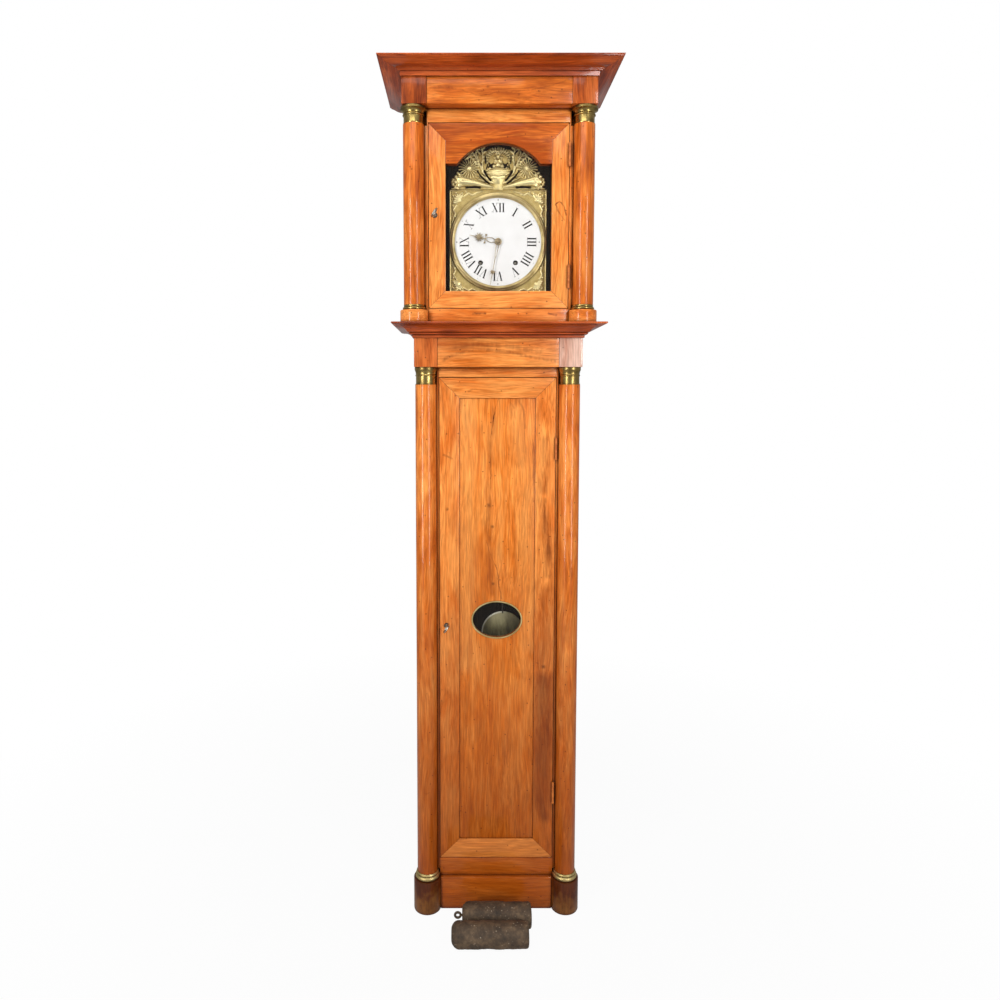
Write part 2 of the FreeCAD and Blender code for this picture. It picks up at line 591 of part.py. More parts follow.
def side_run(name, side, half, face, low, shares, reach, tall):
    """The return of a cornice along one side, mitred at the front and square at the wall."""
    points = moulding_profile(shares, reach, tall, side)
    run = padded(name, "XZ_Plane", [points], f"{reach} - {face}")
    corner = [("0", f"{face}"), ("0", f"{face} - {reach}"), (f"{side} * {reach}", f"{face} - {reach}")]
    pocketed(run, "XY_Plane", [corner], tall, True)
    return place(run, f"{side} * {half}", "0", low)


def make_cornice(label, half, face, low, shares, reach, tall):
    runs = [front_run(label + "_front", half, face, low, shares, reach, tall)]
    for side in (-1, 1):
        runs.append(side_run(mirror_name(label, side), side, half, face, low, shares, reach, tall))
    sub_part(label, *runs)


def make_cornices():
    make_cornice("waist_cornice", TRUNK_HALF, f"({TRUNK_FACE} - entablature_forward)", WAIST_Z,
                 waist_cornice_shares, "waist_cornice_reach", "waist_cornice_tall")
    make_cornice("top_cornice", HOOD_HALF, f"({HOOD_FACE} - entablature_forward)", TOP_CORNICE_Z,
                 top_cornice_shares, "top_cornice_reach", "top_cornice_tall")


# Doors


def board_on_door(name, door, points, circles=()):
    """A member of a door, cut from its outline and as thick as the frame."""
    board = padded(name, "XZ_Plane", [points], "front_board", circles)
    return place(board, "0", f"{door['face']} + front_board")


def stile(door, side):
    half, low, high, member = door["half"], door["low"], door["high"], door["member"]
    inner = f"({half} - {member})"
    outline = [(half, low), (half, high), (inner, f"{high} - {member}"), (inner, f"{low} + {member}")]
    circles = []
    if side < 0:
        outline = [(f"-{x}", z) for x, z in reversed(outline)]
        circles = [(f"{door['key_in']} - {half}", door["key_level"], "key_hole")]
    return board_on_door(mirror_name(door["name"] + "_stile", side), door, outline, circles)


def plain_rail(door, top):
    half, member = door["half"], door["member"]
    inner = f"({half} - {member})"
    edge = door["high"] if top else door["low"]
    inward = f"({edge} - {member})" if top else f"({edge} + {member})"
    outline = [(f"-{half}", edge), (half, edge), (inner, inward), (f"-{inner}", inward)]
    name = door["name"] + ("_top_rail" if top else "_bottom_rail")
    return board_on_door(name, door, outline)


def arch_levels():
    """Level of the flat shoulders of the glass opening, and of the crown of its arch."""
    shoulder = f"({HOOD_DOOR['high']} - shoulder_drop)"
    return shoulder, f"({shoulder} + arch_rise)"


def arched_rail():
    door = HOOD_DOOR
    half, high, member = door["half"], door["high"], door["member"]
    inner = f"({half} - {member})"
    shoulder, crown = arch_levels()
    outline = [(f"-{half}", high), (half, high), (inner, f"{high} - {member}"), (inner, shoulder),
               (ARCH_HALF, shoulder, "0", crown), (f"-{ARCH_HALF}", shoulder),
               (f"-{inner}", shoulder), (f"-{inner}", f"{high} - {member}")]
    return board_on_door("hood_door_arched_rail", door, outline)


def arched_pane():
    door = HOOD_DOOR
    inner = f"({door['half']} - {door['member']} - pane_gap)"
    low = f"({door['low']} + {door['member']} + pane_gap)"
    shoulder, crown = arch_levels()
    outline = [(f"-{inner}", low), (inner, low), (inner, f"{shoulder} - pane_gap"),
               (ARCH_HALF, f"{shoulder} - pane_gap", "0", f"{crown} - pane_gap"),
               (f"-{ARCH_HALF}", f"{shoulder} - pane_gap"), (f"-{inner}", f"{shoulder} - pane_gap")]
    pane = padded("hood_door_glass", "XZ_Plane", [outline], "pane_thick")
    return place(pane, "0", f"{door['face']} + pane_setback + pane_thick")


def oval_disc(name, wide, tall, thickness, front):
    """An elliptical disc that stands upright, with its front face at the given plane."""
    curve = doc.addObject("Part::Ellipse", name + "_curve")
    bind(curve, "MajorRadius", f"{wide} / 2")
    bind(curve, "MinorRadius", f"{tall} / 2")
    disc = doc.addObject("Part::Extrusion", name)
    disc.Base = curve
    disc.DirMode = "Custom"
    disc.Dir = (0, 0, 1)
    disc.Solid = True
    bind(disc, "LengthFwd", thickness)
    disc.Placement.Rotation = FreeCAD.Rotation(FreeCAD.Vector(1, 0, 0), 90)
    return place(disc, "0", f"{front} + {thickness}", OVAL_Z)


def trunk_panel():
    door = TRUNK_DOOR
    half = f"({door['half']} - {door['member']})"
    low = f"({door['low']} + {door['member']})"
    high = f"({door['high']} - {door['member']})"
    front = f"({TRUNK_FACE} + panel_recess)"
    board = box("trunk_panel_board", f"-{half}", front, low, f"2 * {half}", "panel_thick", f"{high} - {low}")
    hole = oval_disc("trunk_panel_hole", "(oval_width - 2 * oval_rim)", "(oval_tall - 2 * oval_rim)",
                     "(2 * panel_thick)", f"({front} - panel_thick / 2)")
    return cut("trunk_door_panel", board, hole)


def make_door_glazing():
    front = f"({TRUNK_FACE} + panel_recess)"
    inner_wide, inner_tall = "(oval_width - 2 * oval_rim)", "(oval_tall - 2 * oval_rim)"
    ring = oval_disc("oval_rim_disc", "oval_width", "oval_tall", "oval_rim_proud",
                     f"({front} - oval_rim_proud)")
    hole = oval_disc("oval_rim_hole", inner_wide, inner_tall, "(3 * oval_rim_proud)",
                     f"({front} - 2 * oval_rim_proud)")
    sub_part("oval_rim", cut("oval_rim", ring, hole))
    sub_part("oval_glass", oval_disc(
        "oval_glass", f"({inner_wide} - 2 * oval_gap)", f"({inner_tall} - 2 * oval_gap)",
        "pane_thick", f"({front} + panel_thick / 3)"))
    sub_part("hood_door_glass", arched_pane())


def make_doors():
    sub_part("hood_door_frame", stile(HOOD_DOOR, -1), stile(HOOD_DOOR, 1),
             arched_rail(), plain_rail(HOOD_DOOR, False))
    sub_part("trunk_door_frame", stile(TRUNK_DOOR, -1), stile(TRUNK_DOOR, 1),
             plain_rail(TRUNK_DOOR, True), plain_rail(TRUNK_DOOR, False))
    sub_part("trunk_door_panel", trunk_panel())
    make_door_glazing()


# Hinges: one knuckle on the post, two on the door, on a pin in front of the joint


def hinge_centres(door):
    return (f"({door['low']} + {door['inset']})", f"({door['high']} - {door['inset']})")


def hinge_axis(door):
    return f"({door['half']} + door_gap / 2)", f"({door['face']} - hinge_stand)"


def leaf(name, door, on_door, low, tall):
    x, y = hinge_axis(door)
    left = door["half"] if on_door else f"({door['half']} + door_gap - hinge_leaf)"
    return box(name, left, y, low, "hinge_leaf", "hinge_stand + hinge_leaf_deep", tall)


def fixed_hinge(name, door, centre):
    x, y = hinge_axis(door)
    low = f"({centre} - knuckle_tall / 2)"
    knuckle = rod(name + "_knuckle", x, y, low, "knuckle_radius", "knuckle_tall")
    pin = rod(name + "_pin", x, y, f"{centre} - 3 / 2 * knuckle_tall", "hinge_pin_radius", "3 * knuckle_tall")
    plate = leaf(name + "_leaf", door, False, low, "knuckle_tall")
    return fuse(name, knuckle, pin, plate)


def door_hinge(name, door, centre, step):
    x, y = hinge_axis(door)
    tall = "(knuckle_tall - knuckle_gap)"
    low = f"({centre} - knuckle_tall / 2 + {step} * knuckle_tall + knuckle_gap / 2)"
    knuckle = rod(name + "_knuckle", x, y, low, "knuckle_radius", tall)
    plate = leaf(name + "_leaf", door, True, low, tall)
    bore = rod(name + "_bore", x, y, f"{low} - knuckle_tall", "hinge_pin_radius + hinge_fit",
               "3 * knuckle_tall")
    return cut(name, fuse(name + "_blank", knuckle, plate), bore)


def make_hinges():
    fixed = []
    for door in (HOOD_DOOR, TRUNK_DOOR):
        moving = []
        for index, centre in enumerate(hinge_centres(door)):
            fixed.append(fixed_hinge(f"{door['name']}_fixed_hinge{index}", door, centre))
            for step in (-1, 1):
                place_word = "low" if step < 0 else "high"
                moving.append(door_hinge(f"{door['name']}_hinge{index}_{place_word}", door, centre, step))
        sub_part(door["name"] + "_hinges", *moving)
    sub_part("fixed_hinges", *fixed)


# Locks and keys


def make_lock(door):
    name = door["name"] + "_lock"
    x = f"({door['key_in']} - {door['half']})"
    back = f"({door['face']} + front_board)"
    level = door["key_level"]
    case = box(name + "_case", f"{x} - lock_half", back, f"{level} - lock_tall / 2",
               "2 * lock_half", "lock_deep", "lock_tall")
    cavity = rod(name + "_cavity", x, f"{back} + lock_wall", level, "lock_cavity",
                 "lock_deep - 2 * lock_wall", "back")
    hole = rod(name + "_hole", x, f"{back} - lock_wall", level, "key_hole", "2 * lock_wall", "back")
    hollow = cut(name + "_box", case, fuse(name + "_room", cavity, hole))
    plate = rod(name + "_plate", x, f"{door['face']} - escutcheon_thick", level,
                "escutcheon", "escutcheon_thick", "back")
    bore = rod(name + "_plate_bore", x, f"{door['face']} - 2 * escutcheon_thick", level,
               "key_hole", "3 * escutcheon_thick", "back")
    sub_part(name, hollow, cut(name + "_escutcheon", plate, bore))


def make_key(label, door):
    """A key in its lock, made about its own axis and then leant over."""
    end = "(front_board + lock_deep - 2 * lock_wall)"
    shank = rod(label + "_shank", "0", "-key_shank_out", "0", "key_shank", f"key_shank_out + {end}", "back")
    collar = rod(label + "_collar", "0", "-key_collar_thick - 2 * escutcheon_thick", "0",
                 "key_collar", "key_collar_thick", "back")
    bit = box(label + "_bit", "-key_bit_thick / 2", f"{end} - key_bit_wide", "-key_bit",
              "key_bit_thick", "key_bit_wide", "key_bit")
    bow = doc.addObject("Part::Torus", label + "_bow")
    bow.Placement.Rotation = FreeCAD.Rotation(FreeCAD.Vector(0, 1, 0), 90)
    bind(bow, "Radius1", "bow_radius")
    bind(bow, "Radius2", "bow_wire")
    place(bow, "0", "-key_shank_out - bow_radius", "0")
    key = fuse(label, shank, collar, bit, bow)
    lean = FreeCAD.Rotation(FreeCAD.Vector(0, 1, 0), amount("key_lean"))
    key.Placement = FreeCAD.Placement(FreeCAD.Vector(), lean)
    place(key, f"{door['key_in']} - {door['half']}", door["face"], door["key_level"])
    sub_part(label, key)


def make_locks():
    for door in (HOOD_DOOR, TRUNK_DOOR):
        make_lock(door)
    make_key("hood_key", HOOD_DOOR)
    make_key("trunk_key", TRUNK_DOOR)


# Seat board and bell


def line_slots(name, low, thick):
    """Two slots, each below the outer side of a barrel, where the line of a weight comes down."""
    slots = []
    for side in (-1, 1):
        x = f"{side} * (winding_out + barrel_radius) - line_slot_half"
        slots.append(box(mirror_name(name, side), x, "-barrel_front", f"{low} - {thick}",
                         "2 * line_slot_half", "barrel_front - barrel_rear", f"3 * {thick}"))
    return fuse(name, *slots)


def make_seat():
    half = f"({HOOD_HALF} - side_inset - side_board)"
    board = box("seat_blank", f"-{half}", "-seat_front", SEAT_Z, f"2 * {half}",
                "seat_front - seat_rear", "seat_thick")
    items = [cut("seat_plank", board, line_slots("seat_slot", SEAT_Z, "seat_thick"))]
    for side in (-1, 1):
        left = f"-{half}" if side < 0 else f"{half} - bearer_wide"
        items.append(box(mirror_name("seat_bearer", side), left, "-seat_front", f"{SEAT_Z} - bearer_tall",
                         "bearer_wide", "seat_front - seat_rear", "bearer_tall"))
    sub_part("seat_board", *items)


# Gears. A tooth's outline is an involute flank in straight steps. Pitch points carry a working gap.
PRESSURE = math.radians(20.0)
tip_share = 0.8
root_share = 1.15
tooth_share = 0.44
GREAT_TEETH, SECOND_TEETH, THIRD_TEETH, LEAVES = 80, 70, 60, 10
PIN_TEETH = 70
DRIVE_TEETH, CANNON_TEETH, MOTION_TEETH, HOUR_TEETH = 24, 12, 48, 36
ESCAPE_TEETH = 28
LIFT_PINS = 6


def involute(angle):
    return math.tan(angle) - angle


def tooth_half_angle(teeth, module, radius):
    """Half of a tooth's angle at a radius, from its involute flank."""
    pitch_radius = teeth * module / 2
    base = pitch_radius * math.cos(PRESSURE)
    half_at_pitch = tooth_share * math.pi / teeth
    if radius <= base:
        return half_at_pitch + involute(PRESSURE)
    return half_at_pitch + involute(PRESSURE) - involute(math.acos(base / radius))


def gear_solid(teeth, module, phase, front, thickness):
    """A toothed disc about the Y axis, with a tooth's middle at the phase angle."""
    pitch_radius = teeth * module / 2
    radii = [pitch_radius - root_share * module, pitch_radius - root_share * module / 3,
             pitch_radius, pitch_radius + tip_share * module]
    points = []
    for tooth in range(teeth):
        middle = phase + 2 * math.pi * tooth / teeth
        flanks = [(middle - tooth_half_angle(teeth, module, radius), radius) for radius in radii]
        flanks += [(middle + tooth_half_angle(teeth, module, radius), radius) for radius in reversed(radii)]
        for angle, radius in flanks:
            points.append(FreeCAD.Vector(radius * math.cos(angle), front, radius * math.sin(angle)))
    outline = Part.makePolygon(points + [points[0]])
    return Part.Face(outline).extrude(FreeCAD.Vector(0, thickness, 0))


def bar_solid(radius, front, rear):
    return Part.makeCylinder(radius, rear - front, FreeCAD.Vector(0, front, 0), FreeCAD.Vector(0, 1, 0))


def train_part(label, shape, x, z):
    """A piece that turns on an arbor: made about the Y axis, then set at its arbor."""
    item = doc.addObject("Part::Feature", label)
    item.Shape = shape.removeSplitter()
    item.Placement = FreeCAD.Placement(FreeCAD.Vector(x, 0, z), FreeCAD.Rotation())
    sub_part(label, item)
    print(f"arbor {label} {x:.4f} {z:.4f}")
    return item


def meeting_point(first, first_radius, second, second_radius, side):
    """Where two circles cross: an arbor at given distances from two others."""
    dx, dz = second[0] - first[0], second[1] - first[1]
    apart = math.hypot(dx, dz)
    along = (first_radius ** 2 - second_radius ** 2 + apart ** 2) / (2 * apart)
    across = math.sqrt(first_radius ** 2 - along ** 2) * side
    return (first[0] + (along * dx - across * dz) / apart, first[1] + (along * dz + across * dx) / apart)


def bearing(start, finish):
    return math.atan2(finish[1] - start[1], finish[0] - start[0])


def value(name):
    return amount(name)


def pitch_distance(teeth, leaves, module):
    return (teeth + leaves) * module / 2


def arbor_layout():
    """Every arbor's place in the plane of the dial."""
    level = value(DIAL_Z)
    centre = (0.0, level)
    going = (-value("winding_out"), level - value("winding_down"))
    strike = (value("winding_out"), level - value("winding_down"))
    drive = DRIVE_TEETH * value("drive_module")
    second = meeting_point(going, pitch_distance(GREAT_TEETH, LEAVES, value("great_module")), centre, drive, 1)
    pendulum = (value("pendulum_aside"), level + value("pendulum_up"))
    escape = (pendulum[0], pendulum[1] - value("escape_radius") - value("escape_depth"))
    third = meeting_point(second, pitch_distance(SECOND_TEETH, LEAVES, value("second_module")),
                          escape, pitch_distance(THIRD_TEETH, LEAVES, value("third_module")), -1)
    reach = pitch_distance(GREAT_TEETH, LEAVES, value("great_module"))
    rise = value("strike_rise")
    pin = (strike[0] + math.sqrt(reach ** 2 - rise ** 2), strike[1] + rise)
    fly = (pin[0], pin[1] + pitch_distance(PIN_TEETH, LEAVES, value("third_module")))
    motion = (0.0, level + pitch_distance(MOTION_TEETH, CANNON_TEETH, value("cannon_module")))
    return {"centre": centre, "going": going, "strike": strike, "second": second, "third": third,
            "escape": escape, "pendulum": pendulum, "pin": pin, "fly": fly, "motion": motion}


def wheel_pair(wheel_at, pinion_at, teeth, leaves, module):
    """Phases of a wheel and its pinion: a tooth meets a gap on the line of centres."""
    wheel_phase = bearing(wheel_at, pinion_at)
    pinion_phase = bearing(pinion_at, wheel_at) + math.pi / leaves
    return wheel_phase, pinion_phase


def barrel_shape(phase):
    """Great wheel, barrel and winding arbor with its square."""
    thick = value("wheel_thick")
    plane = -value("great_plane")
    gear = gear_solid(GREAT_TEETH, value("great_module"), phase, plane, thick)
    drum = bar_solid(value("barrel_radius"), -value("barrel_front"), -value("barrel_rear"))
    hub = bar_solid(value("barrel_arbor") + thick, plane, -value("barrel_front"))
    arbor = bar_solid(value("barrel_arbor"), -value("cage_front") - thick, -value("cage_rear"))
    half = value("square_half")
    square = Part.makeBox(2 * half, value("square_out") - value("cage_front") - thick, 2 * half,
                          FreeCAD.Vector(-half, -value("square_out"), -half))
    return gear.fuse([drum, hub, arbor, square])


def make_going_train(at):
    thick, long = value("wheel_thick"), value("pinion_long")
    arbor = value("arbor_radius")
    rear = -value("cage_rear")
    great_phase, second_leaf = wheel_pair(at["going"], at["second"], GREAT_TEETH, LEAVES, value("great_module"))
    train_part("great_wheel", barrel_shape(great_phase), *at["going"])
    second_phase, third_leaf = wheel_pair(at["second"], at["third"], SECOND_TEETH, LEAVES, value("second_module"))
    plane = -value("second_plane")
    lead = (long - thick) / 2
    shape = gear_solid(SECOND_TEETH, value("second_module"), second_phase, plane, thick).fuse([
        gear_solid(LEAVES, value("great_module"), second_leaf, -value("great_plane") - lead, long),
        bar_solid(arbor, -value("drive_plane") - thick, rear)])
    train_part("second_wheel", shape, *at["second"])
    third_phase, escape_leaf = wheel_pair(at["third"], at["escape"], THIRD_TEETH, LEAVES, value("third_module"))
    shape = gear_solid(THIRD_TEETH, value("third_module"), third_phase, -value("third_plane"), thick).fuse([
        gear_solid(LEAVES, value("second_module"), third_leaf, plane - lead, long),
        bar_solid(arbor, -value("cage_front"), rear)])
    train_part("third_wheel", shape, *at["third"])
    shape = escape_solid().fuse([
        gear_solid(LEAVES, value("third_module"), escape_leaf, -value("third_plane") - lead, long),
        bar_solid(arbor, -value("cage_front"), rear)])
    train_part("escape_wheel", shape, *at["escape"])


escape_root_share = 0.78
escape_lean_share = 0.35


def escape_solid():
    """Escape wheel with pointed, leaning teeth."""
    outer = value("escape_radius")
    points = []
    for tooth in range(ESCAPE_TEETH):
        start = 2 * math.pi * tooth / ESCAPE_TEETH
        tip = start + 2 * math.pi * escape_lean_share / ESCAPE_TEETH
        for angle, radius in ((start, escape_root_share * outer), (tip, outer)):
            points.append(FreeCAD.Vector(radius * math.cos(angle), -value("escape_plane"),
                                         radius * math.sin(angle)))
    outline = Part.makePolygon(points + [points[0]])
    return Part.Face(outline).extrude(FreeCAD.Vector(0, value("wheel_thick"), 0))


def make_strike_train(at):
    thick, long = value("wheel_thick"), value("pinion_long")
    arbor = value("arbor_radius")
    rear = -value("cage_rear")
    great_phase, pin_leaf = wheel_pair(at["strike"], at["pin"], GREAT_TEETH, LEAVES, value("great_module"))
    train_part("strike_great_wheel", barrel_shape(great_phase), *at["strike"])
    pin_phase, fly_leaf = wheel_pair(at["pin"], at["fly"], PIN_TEETH, LEAVES, value("third_module"))
    plane = -value("second_plane")
    lead = (long - thick) / 2
    pieces = [gear_solid(LEAVES, value("great_module"), pin_leaf, -value("great_plane") - lead, long),
              bar_solid(arbor, -value("cage_front"), rear)]
    for index in range(LIFT_PINS):
        angle = 2 * math.pi * index / LIFT_PINS
        start = FreeCAD.Vector(value("pin_out") * math.cos(angle), plane + thick,
                               value("pin_out") * math.sin(angle))
        pieces.append(Part.makeCylinder(value("lift_pin"), value("lift_pin_long"), start,
                                        FreeCAD.Vector(0, 1, 0)))
    shape = gear_solid(PIN_TEETH, value("third_module"), pin_phase, plane, thick).fuse(pieces)
    train_part("pin_wheel", shape, *at["pin"])
    half, wide = value("fly_radius"), value("fly_wide")
    vane = Part.makeBox(2 * half, wide, value("fly_thick"),
                        FreeCAD.Vector(-half, -value("fly_front"), -value("fly_thick") / 2))
    shape = gear_solid(LEAVES, value("third_module"), fly_leaf, plane - lead, long).fuse([
        vane, bar_solid(arbor, -value("cage_front"), rear)])
    train_part("fly", shape, *at["fly"])


def make_motion_work(at):
    thick = value("motion_thick")
    arbor, fit = value("minute_arbor"), value("running_fit")
    drive_plane, cannon_plane = -value("drive_plane"), -value("cannon_plane")
    hour_plane, over = -value("hour_plane"), value("pinion_over")
    drive_phase, cannon_wheel_phase = wheel_pair(at["second"], at["centre"], DRIVE_TEETH, DRIVE_TEETH,
                                                 value("drive_module"))
    shape = gear_solid(DRIVE_TEETH, value("drive_module"), drive_phase, drive_plane, thick)
    hub_rear = drive_plane + thick + over
    shape = shape.fuse(bar_solid(value("arbor_radius") + over, drive_plane, hub_rear))
    shape = shape.cut(bar_solid(value("arbor_radius") + fit, drive_plane - thick, hub_rear + thick))
    train_part("drive_wheel", shape, *at["second"])
    motion_phase, cannon_phase = wheel_pair(at["motion"], at["centre"], MOTION_TEETH, CANNON_TEETH,
                                            value("cannon_module"))
    hour_phase, motion_leaf = wheel_pair(at["centre"], at["motion"], HOUR_TEETH, CANNON_TEETH,
                                         value("hour_module"))
    front = hand_planes()["minute_front"]
    shape = gear_solid(DRIVE_TEETH, value("drive_module"), cannon_wheel_phase, drive_plane, thick).fuse([
        gear_solid(CANNON_TEETH, value("cannon_module"), cannon_phase, cannon_plane - over, thick + 2 * over),
        bar_solid(arbor, front, -value("bridge_front") + value("bridge_thick"))])
    train_part("cannon_arbor", shape, *at["centre"])
    shape = gear_solid(MOTION_TEETH, value("cannon_module"), motion_phase, cannon_plane, thick).fuse(
        gear_solid(CANNON_TEETH, value("hour_module"), motion_leaf, hour_plane - over,
                   cannon_plane - hour_plane + over))
    shape = shape.cut(bar_solid(value("stud_radius") + fit, hour_plane - 2 * over, cannon_plane + 2 * thick))
    train_part("motion_wheel", shape, *at["motion"])
    pipe_front = hand_planes()["hour_front"]
    shape = gear_solid(HOUR_TEETH, value("hour_module"), hour_phase, hour_plane, thick).fuse(
        bar_solid(value("hour_pipe"), pipe_front, hour_plane + thick))
    shape = shape.cut(bar_solid(arbor + fit, pipe_front - thick, hour_plane + 2 * thick))
    train_part("hour_wheel", shape, *at["centre"])


# Hands


def hand_planes():
    """Front planes of both hands, from the dial outwards."""
    hour = -value("dial_front") - value("dial_dome") - value("hand_pitch") / 2
    minute = hour - value("hand_pitch")
    return {"hour_front": hour - value("hand_thick"), "minute_front": minute - value("hand_thick"),
            "hour_back": hour, "minute_back": minute}


hand_waist_share = 0.35


def hand_blade(long, wide, tail):
    """A slim pointed blade up from the centre, with a short tail."""
    outline = [(-wide * hand_waist_share, -tail), (wide * hand_waist_share, -tail), (wide / 2, 0.0),
               (wide * hand_waist_share, long * (1 - hand_waist_share)), (0.0, long),
               (-wide * hand_waist_share, long * (1 - hand_waist_share)), (-wide / 2, 0.0)]
    points = [FreeCAD.Vector(x, 0, z) for x, z in outline]
    return Part.Face(Part.makePolygon(points + [points[0]]))


def hand(label, blade, back, bore, extras, angle):
    """A hand cut from plate, its hub on its arbor, turned to the hour that it shows."""
    thick = value("hand_thick")
    solid = blade.extrude(FreeCAD.Vector(0, -thick, 0))
    solid = solid.fuse([bar_solid(value("hand_hub"), -thick, 0.0)] + extras)
    solid = solid.cut(bar_solid(bore, -2 * thick, thick))
    item = doc.addObject("Part::Feature", label)
    item.Shape = solid.removeSplitter()
    turn = FreeCAD.Rotation(FreeCAD.Vector(0, 1, 0), angle)
    item.Placement = FreeCAD.Placement(FreeCAD.Vector(0, back, value(DIAL_Z)), turn)
    return item


def make_hands():
    planes = hand_planes()
    thick = value("hand_thick")
    star = Part.makeCylinder(value("hour_star"), thick, FreeCAD.Vector(0, -thick, value("hour_star_out")),
                             FreeCAD.Vector(0, 1, 0))
    blade = hand_blade(value("hour_long"), value("hour_wide"), 0.0)
    sub_part("hour_hand", hand("hour_hand", blade, planes["hour_back"], value("hour_pipe"),
                               [star], value("hour_angle")))
    blade = hand_blade(value("minute_long"), value("minute_wide"), value("minute_tail"))
    minute = hand("minute_hand_plate", blade, planes["minute_back"], value("minute_arbor"),
                  [], value("minute_angle"))
    collet = doc.addObject("Part::Feature", "hand_collet")
    front = planes["minute_front"]
    collet.Shape = bar_solid(value("collet_radius"), front - value("collet_thick"), front)
    collet.Placement = FreeCAD.Placement(FreeCAD.Vector(0, 0, value(DIAL_Z)), FreeCAD.Rotation())
    sub_part("minute_hand", minute, collet)


# Movement cage


def holed_plate(name, plane, holes):
    """An upright plate of the cage, holed for the arbors that run through it."""
    low = f"({SEAT_Z} + seat_thick + cage_plate)"
    high = f"({SEAT_Z} + seat_thick + {CAGE_TALL})"
    half = "(cage_half - pillar)"
    outline = [(f"-{half}", low), (half, low), (half, high), (f"-{half}", high)]
    plate = padded(name, "XZ_Plane", [outline], "cage_plate", holes)
    return place(plate, "0", f"-({plane}) + cage_plate")


def circle_at(spot, radius):
    return (repr(round(spot[0], 6)), repr(round(spot[1], 6)), radius)


def make_cage(at):
    base = f"({SEAT_Z} + seat_thick)"
    top = f"({base} + {CAGE_TALL})"
    items = [cut("cage_base", box("cage_base_blank", "-cage_half", "-cage_front", base, "2 * cage_half",
                                  "cage_front - cage_rear", "cage_plate"),
                 line_slots("cage_slot", base, "cage_plate")),
             cut("cage_top", box("cage_top_blank", "-cage_half", "-cage_front", top, "2 * cage_half",
                                 "cage_front - cage_rear", "cage_plate"),
                 rod("cage_top_hole", "-hammer_aside", "-hammer_back", f"{top} - cage_plate",
                     "hammer_arbor + running_fit", "3 * cage_plate"))]
    for side in (-1, 1):
        for row, y in (("front", "-cage_front"), ("rear", "-cage_rear - pillar")):
            left = "cage_half - pillar" if side > 0 else "-cage_half"
            items.append(box(mirror_name("cage_pillar_" + row, side), left, y, f"{base} + cage_plate",
                             "pillar", "pillar", f"{CAGE_TALL} - cage_plate"))
    small = "arbor_radius + running_fit"
    big = "barrel_arbor + running_fit"
    front_holes = [circle_at(at[name], small) for name in
                   ("second", "third", "escape", "pin", "fly", "pendulum")]
    front_holes += [circle_at(at[name], big) for name in ("going", "strike")]
    rear_holes = [circle_at(at[name], small) for name in
                  ("second", "third", "escape", "pin", "fly", "pendulum")]
    rear_holes += [circle_at(at[name], big) for name in ("going", "strike")]
    items.append(holed_plate("cage_front_plate", "cage_front", front_holes))
    items.append(holed_plate("cage_rear_plate", "cage_rear + cage_plate", rear_holes))
    items += bridge_parts()
    sub_part("movement_cage", *items)


def bridge_parts():
    """The bridge before the cage that carries the hands' arbor and the motion wheel's stud."""
    level = DIAL_Z
    rise = f"({amount('cannon_module')} * {(MOTION_TEETH + CANNON_TEETH) // 2})"
    low = f"({level} - bridge_tall / 2)"
    high = f"({level} + {rise} + bridge_tall / 2)"
    outline = [("-bridge_half", low), ("bridge_half", low), ("bridge_half", f"{low} + bridge_tall"),
               ("bridge_tall", f"{low} + bridge_tall"), ("bridge_tall", high), ("-bridge_tall", high),
               ("-bridge_tall", f"{low} + bridge_tall"), ("-bridge_half", f"{low} + bridge_tall")]
    plate = padded("bridge_plate", "XZ_Plane", [outline], "bridge_thick",
                   [("0", level, "minute_arbor + running_fit")])
    place(plate, "0", "-bridge_front + bridge_thick")
    items = [plate, rod("motion_stud", "0", "-hour_plane - 2 * pinion_over", f"{level} + {rise}",
                        "stud_radius", "hour_plane + 2 * pinion_over - bridge_front", "back")]
    for side in (-1, 1):
        x = f"{side} * (bridge_half - bridge_tall / 2)"
        items.append(rod(mirror_name("bridge_post_bar", side), x, "-bridge_front + bridge_thick", level,
                         "bridge_post", "bridge_front - bridge_thick - cage_front", "back"))
        for row, z in (("low", f"{SEAT_Z} + seat_thick + plate_gap"),
                       ("high", f"{SEAT_Z} + seat_thick + {CAGE_TALL} - plate_gap")):
            items.append(rod(mirror_name("dial_foot_" + row, side), f"{side} * (cage_half - pillar - plate_gap)",
                             "-dial_front + dial_thick + surround_thick", z, "dial_foot",
                             "dial_front - dial_thick - surround_thick - cage_front", "back"))
    return items


# Dial


# Where a shallow dome passes, as a share of its radius and of its rise
dome_out_share = 0.5
dome_up_share = 0.75


def enamel_dial():
    """A shallow dome of enamel about the Y axis, holed for hands and winding squares."""
    back = "(dial_thick)"
    dial = turned("enamel_dial", "XY_Plane", "V_Axis", [
        ("0", back),
        ("0", "-dial_dome", f"dial_radius * {dome_out_share}", f"-dial_dome * {dome_up_share}"),
        ("dial_radius", "0"), ("dial_radius", back)])
    holes = [("0", "0", "centre_hole"), ("-winding_out", "-winding_down", "winding_hole"),
             ("winding_out", "-winding_down", "winding_hole")]
    doc.recompute()
    before = dial.Shape.Volume
    sketch = sketch_on(dial, "XZ_Plane", "enamel_dial_holes", (), holes)
    pocket = dial.newObject("PartDesign::Pocket", "enamel_dial_bores")
    pocket.Profile = sketch
    pocket.Type = 1
    pocket.Midplane = True
    doc.recompute()
    require_cut(dial, before)
    return place(dial, "0", "-dial_front", DIAL_Z)


